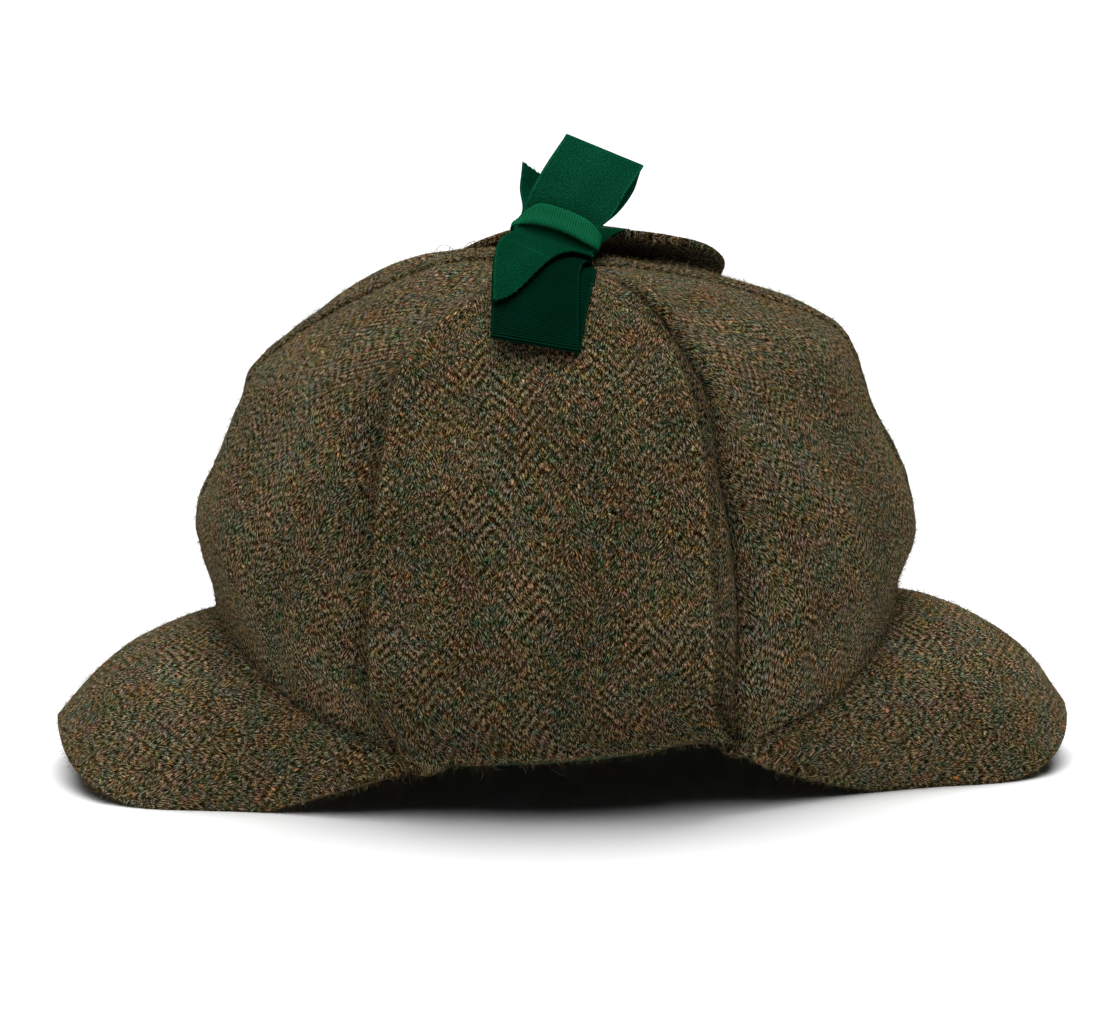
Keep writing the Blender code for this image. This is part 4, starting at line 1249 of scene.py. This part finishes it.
def make_gore(name, material):
    start, end = GORE_SEAMS[name]
    tall = run_along(smooth_crown((start + end) / 2, np.linspace(0.0, TIP_LEVEL, 80)))[-1]
    wide = np.linalg.norm(smooth_crown(start, WIDEST_LEVEL) - smooth_crown(end, WIDEST_LEVEL))
    share, level = np.meshgrid(spaced(wide, near_edge=SEAM_LINES), spaced(tall) * TIP_LEVEL)
    turn = start + share * (end - start)
    normals = crown_normal(turn, level)
    folds = fold_height(CROWN_FOLDS, turn, level) + fold_height(SMALL_FOLDS, turn, level)
    skin = smooth_crown(turn, level) + normals * (gore_swell(share, level) + folds)[..., None]
    across, along = lengths_along(skin, 1), lengths_along(skin, 0)
    from_seam = np.minimum(across, across[:, -1:] - across)
    # The seams in the middle of the front and back have their turned-in cloth pressed to both sides.
    nearer = np.where(share < 0.5, start, end)
    strong = np.isclose(nearer % 180.0, 0.0) * clipped((level - STRONG_FROM) / STRONG_FADE)
    relief = uneven(skin, "gore") * clipped(from_seam / GORE_EVEN) * clipped(along / RIM_EVEN)
    pucker = np.sin(along / PUCKER_SPACING + PUCKER_WANDER * soft_relief(skin, PUCKER_WAVE, PUCKER_SEED))
    pucker = PUCKER_HEIGHT * pucker * hump(from_seam, PUCKER_WIDTH) * clipped(from_seam / PUCKER_START)
    relief = relief + pucker + seam_profile(from_seam, strong)
    # Over the peaks the rim turns outwards and lies down on them.
    from_peak = np.minimum(np.abs(turn_from(0.0, turn)), np.abs(turn_from(180.0, turn)))
    over_peak = clipped((PEAK_REACH - from_peak) / PEAK_REACH_FADE)
    flare = RIM_FLARE * clipped(1.0 - along / RIM_FLARE_HEIGHT) ** 2 * over_peak
    middle = skin + normals * (relief + flare - GORE_CLOTH / 2)[..., None]
    middle[..., 2] += rim_lift(middle) - flare * RIM_FLARE_DROP
    # Painted shade beside the seams, along the rim where it lies on a peak, and on the crown beside the
    # flaps' edges.
    shade = shaded_by(from_seam, SEAM_SHADE) + shaded_by(along, RIM_SHADE) * over_peak
    for flap in FLAP_ROWS:
        away = nearest_distance(middle, flap_outline(flap))
        shade = shade + sum(shaded_by(away, flap_shade) for flap_shade in FLAP_SHADES)
    # These distances draw the painted shade lines of the seams' grooves, of a strong seam's edge and of the
    # rim.
    seam_line = np.where(strong > 0.5, from_seam, np.minimum(from_seam, NO_STEP_LINE))
    seams = stacked(np.minimum(seam_line, along + RIM_LINE_LESS), np.minimum(shade, DARKEST))
    angle = GORE_ANGLES[name]
    shape = middle, GORE_CLOTH, material, lambda grid: turned(centred_map(grid), angle)
    return cloth_piece(name, "tweed_crown", *shape, seams=seams)


def unrolled(inner, outer):
    """The two long edges of a bent strip, laid out flat triangle by triangle from its middle."""
    count = len(inner)
    middle = count // 2
    flat = np.zeros((2, count, 2))
    flat[1, middle] = (0.0, np.linalg.norm(outer[middle] - inner[middle]))

    def third(first, second, from_first, from_second, hand):
        """The corner of a triangle on one side of its flat base, from its two lengths."""
        base = second - first
        long = max(np.linalg.norm(base), 1e-9)
        on = (from_first**2 - from_second**2 + long**2) / (2.0 * long)
        off = np.sqrt(max(from_first**2 - on**2, 0.0)) * hand
        return first + base / long * on + np.array((-base[1], base[0])) / long * off

    for way in (1, -1):
        for at in range(middle, count - 1 if way == 1 else 0, way):
            to = at + way
            sides = np.linalg.norm(inner[to] - inner[at]), np.linalg.norm(inner[to] - outer[at])
            flat[0, to] = third(flat[0, at], flat[1, at], *sides, -way)
            sides = np.linalg.norm(outer[to] - inner[to]), np.linalg.norm(outer[to] - outer[at])
            flat[1, to] = third(flat[0, to], flat[1, at], *sides, -way)
    return flat


def strip_map(grid):
    """Places on the flat cloth of a strip whose first row is its outer edge and last row its seam."""
    inner, outer = unrolled(grid[-1], grid[0])
    along = lengths_along(grid[::-1], 0)[::-1]
    share = along / np.maximum(along[:1], 1e-9)
    return inner + (outer - inner) * share[..., None]


def settled(flat, grid, rounds):
    """Moves places on the flat cloth until neighbours are as far apart as on the grid."""
    flat = flat.copy()
    rows, columns = flat.shape[:2]
    pairs = []
    for down, right in ((0, 1), (1, 0), (1, 1), (1, -1)):
        first = (slice(0, rows - down), slice(max(-right, 0), columns - max(right, 0)))
        second = (slice(down, rows), slice(max(right, 0), columns + min(right, 0)))
        pairs.append((first, second, np.linalg.norm(grid[second] - grid[first], axis=-1)))
    for _ in range(rounds):
        move = np.zeros_like(flat)
        for first, second, rest in pairs:
            apart = flat[second] - flat[first]
            long = np.maximum(np.linalg.norm(apart, axis=-1), 1e-6)
            push = apart * ((1.0 - rest / long) * 0.2)[..., None]
            move[first] += push
            move[second] -= push
        flat += move
    return flat


def filled_in(values, known, count):
    """Values at some places of the first axis, filled in at every place of it."""
    lines = values.reshape(len(values), -1).T
    full = np.stack([np.interp(np.arange(count), known, line) for line in lines], -1)
    return full.reshape(count, *values.shape[1:])


COARSE_GRID, COARSE_ROUNDS, FINE_ROUNDS = (9, 33), 1500, 60


def relaxed(flat, grid):
    """A flat layout of a grid made nearly true to size: first a coarse one, then every place."""
    size = grid.shape[:2]
    kept = [np.unique(np.linspace(0, every - 1, few).astype(int)) for every, few in zip(size, COARSE_GRID)]
    some = np.ix_(*kept)
    moved = settled(flat[some], grid[some], COARSE_ROUNDS) - flat[some]
    for axis in (1, 0):
        moved = filled_in(moved.swapaxes(0, axis), kept[axis], size[axis]).swapaxes(0, axis)
    return settled(flat + moved, grid, FINE_ROUNDS)


def along_hat(grid, flat, column):
    """Turns a flat layout so that its lengthwise direction follows the hat's length at one column."""
    row = grid.shape[0] // 2
    steps = [(slice(row - 2, row + 3), column), (row, slice(column - 2, column + 3))]
    on_hat = np.stack([grid[step][-1] - grid[step][0] for step in steps], -1)
    on_flat = np.stack([flat[step][-1] - flat[step][0] for step in steps], -1)
    shares = np.linalg.lstsq(on_hat, np.array((1.0, 0.0, 0.0)), rcond=None)[0]
    along = on_flat @ shares
    return turned(flat, np.degrees(np.arctan2(along[0], along[1])))


PEAK_ARM_MERGE = 5.0  # degrees of turn over which a peak's arms narrow and thin out by the shares below
PEAK_ARM_NARROWS, PEAK_ARM_THINS = 0.85, 0.6
PEAK_EVEN = 1.0 / 6.0  # nearer than this share of its depth to an edge, a peak is less uneven
PEAK_HIDDEN = 0.04  # this share of a peak's depth runs on under the crown
PEAK_NEAR_SIDE = 110.0  # on the near side, this far from the hat's middle, the herringbone runs along the hat


def make_peak(name, material):
    arm = PEAK_EDGES[name][-1][0]
    round_edge = run_along(peak_point(name, np.linspace(-arm, arm, 160), 1.0))[-1]
    deep = np.linalg.norm(peak_point(name, 0.0, 1.0) - peak_point(name, 0.0, 0.0))
    outs = 1.0 - spaced(deep) * (1.0 + PEAK_HIDDEN)
    turn, out = np.meshgrid((spaced(round_edge) * 2.0 - 1.0) * arm, outs)
    merging = clipped((np.abs(turn) - arm + PEAK_ARM_MERGE) / PEAK_ARM_MERGE) ** 1.5
    top = peak_point(name, turn, out * (1.0 - PEAK_ARM_NARROWS * merging))
    relief = uneven(top, "peak") * clipped((1.0 - out) / PEAK_EVEN) * clipped(out / PEAK_EVEN)
    cloth = PEAK_CLOTH * (1.0 - PEAK_ARM_THINS * merging)
    middle = top + grid_normals(top) * (relief - cloth / 2)[..., None]
    # Painted shade on the peak beside the crown's rim, which overhangs it.
    from_crown = np.linalg.norm(top - peak_point(name, turn, 0.0), axis=-1)
    seams = no_seams(shaded_by(from_crown, PEAK_SHADE))
    row = middle[middle.shape[0] // 2]
    near = int(np.argmin(np.abs(np.abs(row[:, 0]) - PEAK_NEAR_SIDE) + row[:, 1]))
    shape = middle, cloth, material, lambda grid: along_hat(grid, relaxed(strip_map(grid), grid), near)
    return cloth_piece(name, "tweed_peak", *shape, seams=seams, lowest=LOWEST)


FLAP_EDGE_LIFT, FLAP_EDGE_LIFT_WIDTH, FLAP_EDGE_LIFT_RISE = 1.8, 6.0, 20.0
# Painted shade by the rim and along its very edge, and a painted highlight just inside that, on its rolled
# edge.
FLAP_LOW_SHADE, FLAP_EDGE_SHADE = (0.3, 16.0), (0.12, 0.5)
FLAP_EDGE_HIGHLIGHT, FLAP_EDGE_HIGHLIGHT_AT = (0.3, 0.9), 1.3


def make_flap(name, material):
    tall = run_along(flap_point(name, 0.5, rises(name, np.linspace(0.0, 1.0, 60)))[0])[-1]
    across = spaced(max(row[2] - row[1] for row in FLAP_ROWS[name]))
    if name == "ear_flap_right":
        across = across[::-1]
    share, rise = np.meshgrid(across, rises(name, spaced(tall)))
    inner, normals = flap_point(name, share, rise)
    from_edge, height = edge_distance(inner), rise - rises(name, 0.0)
    relief = uneven(inner, "flap") * clipped(from_edge / FLAP_EVEN)
    lift = FLAP_EDGE_LIFT * hump(from_edge, FLAP_EDGE_LIFT_WIDTH) * clipped(height / FLAP_EDGE_LIFT_RISE)
    middle = inner + normals * (FLAP_CLOTH / 2 + relief + lift)[..., None]
    middle[..., 2] += rim_lift(middle)
    # Painted shade low on the flap and along its edge, less a painted highlight on its rolled edge.
    shade = shaded_by(height, FLAP_LOW_SHADE) + shaded_by(from_edge, FLAP_EDGE_SHADE)
    shade = shade - shaded_by(from_edge - FLAP_EDGE_HIGHLIGHT_AT, FLAP_EDGE_HIGHLIGHT)
    return cloth_piece(name, "tweed_flap", middle, FLAP_CLOTH, material, centred_map, seams=no_seams(shade))


# Where the lining shows below the rim: its middle and its reach in degrees of turn, and how far down.
LINING_PEEP_TURN, LINING_PEEP_REACH, LINING_PEEP_DROP = 268.0, 16.0, 0.6
BAND_COLUMNS, BAND_ROWS = 300, 9
BAND_HEM = (1.0, 0.7, 0.3)  # the rows below the rim, as shares of how far the band reaches down there
BAND_MM_PER_DEGREE = 1.7


def make_band(material):
    """The lining's band, with the grids of its middle and of its places on the flat cloth."""
    levels = np.concatenate([np.zeros(len(BAND_HEM)), np.linspace(0.0, 1.0, BAND_ROWS) * BAND_TOP_LEVEL])
    hem = np.concatenate([BAND_HEM, np.zeros(BAND_ROWS)])
    turn, level = np.meshgrid(np.linspace(0.0, 360.0, BAND_COLUMNS, endpoint=False), levels)
    peep = LINING_PEEP_DROP * hump(turn_from(LINING_PEEP_TURN, turn), LINING_PEEP_REACH)
    drop = hem[:, None] * (BAND_BELOW + peep)
    inset = crown_relief(turn, level) - GORE_CLOTH - BAND_GAP - BAND_CLOTH / 2
    middle = smooth_crown(turn, level) + crown_normal(turn, level) * inset[..., None]
    middle[..., 2] += rim_lift(middle) - drop

    def map_of(grid):
        return stacked(turn * BAND_MM_PER_DEGREE, lengths_along(grid, 0))

    piece = cloth_piece("lining_band", "green_lining", middle, BAND_CLOTH, material, map_of, closed=True)[0]
    return piece, middle, map_of(middle)


KNOT_ROUNDNESS = 3.4
KNOT_ARCH = 2.2
KNOT_COLUMNS = 420
# Side, how far the knot narrows there, and how far it drops there.
KNOT_PINCHES = ((-1.0, 0.75, -0.8), (1.0, 0.35, 0.0))
KNOT_PINCH_FROM = 0.5  # a pinch begins at this share of the way to the side
PICOT_DEPTH, PICOT_NARROWNESS = 0.055, 8


def make_knot(material):
    across, facing, up = knot_axes()
    half_width, half_depth = KNOT_HALF_OPENING
    lines = spaced(KNOT_LENGTH, RIBBON_STEP) * KNOT_LENGTH - KNOT_LENGTH / 2
    angle, along = np.meshgrid(np.linspace(0.0, 360.0, KNOT_COLUMNS, endpoint=False), lines)
    wide, deep = (
        np.copysign((half + RIBBON_CLOTH / 2) * np.abs(part) ** (2.0 / KNOT_ROUNDNESS), part)
        for half, part in zip(KNOT_HALF_OPENING, cos_sin(angle))
    )
    bare = across * wide[..., None] + facing * deep[..., None]
    round_knot = lengths_along(bare, 1)
    # The front of the knot arches up in its middle, and its edges have the small loops of the ribs' threads.
    arch = KNOT_ARCH * (1.0 - (wide / half_width) ** 2) * clipped(deep / half_depth)
    loops = np.cos(2 * np.pi * round_knot / RIB_SPACING) * np.abs(along / KNOT_LENGTH * 2) ** PICOT_NARROWNESS
    up_knot = along * (1.0 + PICOT_DEPTH * loops) + arch
    for side, narrowing, drop in KNOT_PINCHES:
        pinch = clipped((wide * side / half_width - KNOT_PINCH_FROM) / (1.0 - KNOT_PINCH_FROM)) ** 2
        up_knot = up_knot - along * narrowing * pinch + drop * pinch * KNOT_LENGTH / 2
    middle = KNOT_CENTRE + bare + up * up_knot[..., None]
    flat = stacked(along * RIBBON_WIDTH / KNOT_LENGTH, round_knot)
    shape = middle, RIBBON_CLOTH, material, lambda grid: flat
    return cloth_piece("bow_knot", "green_ribbon", *shape, closed=True)[0]


TOOTH_SPACING, TOOTH_DEPTH, TOOTH_NEARNESS = 1.5, 0.5, 9  # the teeth bend only the lines near the cut
TAIL_STEP = 0.3


def make_ribbon(name, material):
    """A ribbon, with the grids of its middle and of its places on the flat cloth."""
    on_loop = name == "bow_tail_front"
    path = ribbon_path("bow_loop_lower")[:TAIL_ROWS] if on_loop else ribbon_path(name)
    length, shares = path[-1, 0], np.linspace(0.0, 1.0, len(path))
    # Lines evenly spaced along the path's length, as shares of its rows.
    places = np.interp(spaced(length, RIBBON_STEP) * length, path[:, 0], shares)
    step = TAIL_STEP if name in CUTS else 1.0
    aside, along = np.meshgrid(spaced(RIBBON_WIDTH * RIBBON_FOLDED.get(name, 1.0), step) - 0.5, places)
    if name in CUTS:
        left, right, late = CUTS[name]
        tooth = np.abs((aside * RIBBON_WIDTH / TOOTH_SPACING) % 1.0 - 0.5) * 2.0 - 0.5
        cut = left + (right - left) * (aside + 0.5) ** late
        along = along * cut + along**TOOTH_NEARNESS * tooth * TOOTH_DEPTH / length
    middle = ribbon_point(path, along, aside)
    if on_loop:
        onward = ribbon_point(path, along + 0.01, aside) - ribbon_point(path, along - 0.01, aside)
        across = ribbon_point(path, along, 0.5) - ribbon_point(path, along, -0.5)
        lift = TAIL_LIFT[0] + (TAIL_LIFT[1] - TAIL_LIFT[0]) * along
        middle = middle + unit(np.cross(onward, across)) * lift[..., None]
    flat = stacked(aside * RIBBON_WIDTH, np.interp(along, shares, path[:, 0]))
    piece, outer, _, _ = cloth_piece(name, "green_ribbon", middle, RIBBON_CLOTH, material, lambda grid: flat)
    if name in FRAYED:
        make_fray(name, outer, material)
    return piece, middle, flat


# Camera, lights and floor.


def make_camera():
    back = Vector(view_axes()[2])
    data = bpy.data.cameras.new("camera")
    data.sensor_width = SENSOR_WIDTH
    data.lens = SENSOR_WIDTH * CAMERA_DISTANCE / VIEW_WIDTH
    camera = placed("camera", data)
    camera.location = Vector(CAMERA_TARGET) + back * CAMERA_DISTANCE
    facing(camera, back)
    bpy.context.scene.camera = camera


def facing(thing, back):
    """Turns a camera or a light to look away from the direction behind it."""
    thing.rotation_euler = (-back).to_track_quat("-Z", "Y").to_euler()


def sun_light(name, tilt, turn, spread, strength):
    data = bpy.data.lights.new(name, "SUN")
    data.energy = strength
    data.angle = float(np.radians(spread))
    (high, level), (c, s) = cos_sin(tilt), cos_sin(turn)
    facing(placed(name, data), Vector((level * s, level * c, high)))


def make_studio():
    world = bpy.data.worlds.new("studio")
    world.use_nodes = True
    background = world.node_tree.nodes["Background"].inputs
    background["Color"].default_value = WORLD_COLOUR
    background["Strength"].default_value = WORLD_STRENGTH
    bpy.context.scene.world = world
    bpy.context.scene.view_settings.view_transform = "Standard"
    for name, sun in SUNS.items():
        sun_light(name, *sun)
    c, s = cos_sin(np.linspace(0.0, 360.0, FLOOR_SIDES, endpoint=False))
    rings = [stacked(radius * c, radius * s, np.full_like(c, height)) for radius, height in FLOOR_SECTIONS]
    faces = []
    for side in range(FLOOR_SIDES):
        after = (side + 1) % FLOOR_SIDES
        faces.append((0, 1 + side, 1 + after))
        for inner in range(1, 1 + (len(FLOOR_SECTIONS) - 2) * FLOOR_SIDES, FLOOR_SIDES):
            outer = inner + FLOOR_SIDES
            faces.append((inner + side, outer + side, outer + after, inner + after))
    mesh = bpy.data.meshes.new("studio_floor")
    mesh.from_pydata([rings[0][0].tolist(), *np.concatenate(rings[1:]).tolist()], [], faces)
    mesh.shade_smooth()
    mesh.materials.append(floor_material())
    placed("studio_floor", mesh)


# One ribbon, whose colour is lighter or darker from piece to piece as painted light and shade, darkest on the
# lower loop in the front tail's shadow.
RIBBON_SHADED_LOOKS = {
    # colour with painted light and shade, how strongly the ribs and the grain show, and the run at which the
    # ribbon is creased
    "bow_knot": (srgb(17, 90, 58), 0.9, 1.7, None),
    "bow_loop_upper": (srgb(9, 64, 42), 0.35, 2.8, None),
    "bow_loop_lower": (srgb(1, 18, 10), 7.0, 2.4, None),
    "bow_tail_front": (srgb(4, 49, 30), 0.5, 3.0, 32.0),
    "bow_tail_back": (srgb(4, 52, 33), 0.35, 3.0, None),
    "ribbon_tie_left": (srgb(4, 52, 33), 0.3, 2.6, None),
    "ribbon_tie_right": (srgb(6, 60, 38), 0.3, 2.6, None),
}
TWEED_LOOKS = {
    # how strongly the wool and the twill show, how much lighter or darker each part's cloth is in steps of
    # doubling, which is painted light and shade on the one tweed, and the spacing of its yarns
    "crown": (1.3, 0.95, 0.05, (0.8, 0.7)),
    "peak": (1.18, 0.95, 0.15, (0.85, 0.9)),
    "flap": (1.2, 1.2, -0.15, (0.84, 0.98)),
}


def main():
    make_camera()
    make_studio()
    crown, brim, flap = (tweed_material("tweed_" + part, *look) for part, look in TWEED_LOOKS.items())
    fuzz = fuzz_material("wool_fuzz")
    made = {name: make_gore(name, crown) for name in GORE_SEAMS}
    made.update({name: make_peak(name, brim) for name in PEAK_EDGES})
    made.update({name: make_flap(name, flap) for name in FLAP_ROWS})
    for seed, (name, (piece, outer, normals, flat)) in enumerate(made.items()):
        wool = make_fuzz(name + "_fuzz", outer, normals, flat, fuzz, seed)
    make_threads(made)
    band, middle, flat = make_band(lining_material("green_lining_weave"))
    knot = None
    for name, look in RIBBON_SHADED_LOOKS.items():
        fold_at = None
        if name == "bow_loop_lower":
            path = ribbon_path(name)
            fold_at = float(path[path[:, 3].argmin(), 0])
        material = ribbon_material(name + "_grosgrain", *look, fold_at)
        if name == "bow_knot":
            knot = make_knot(material)
            continue
        piece, middle, flat = make_ribbon(name, material)


main()
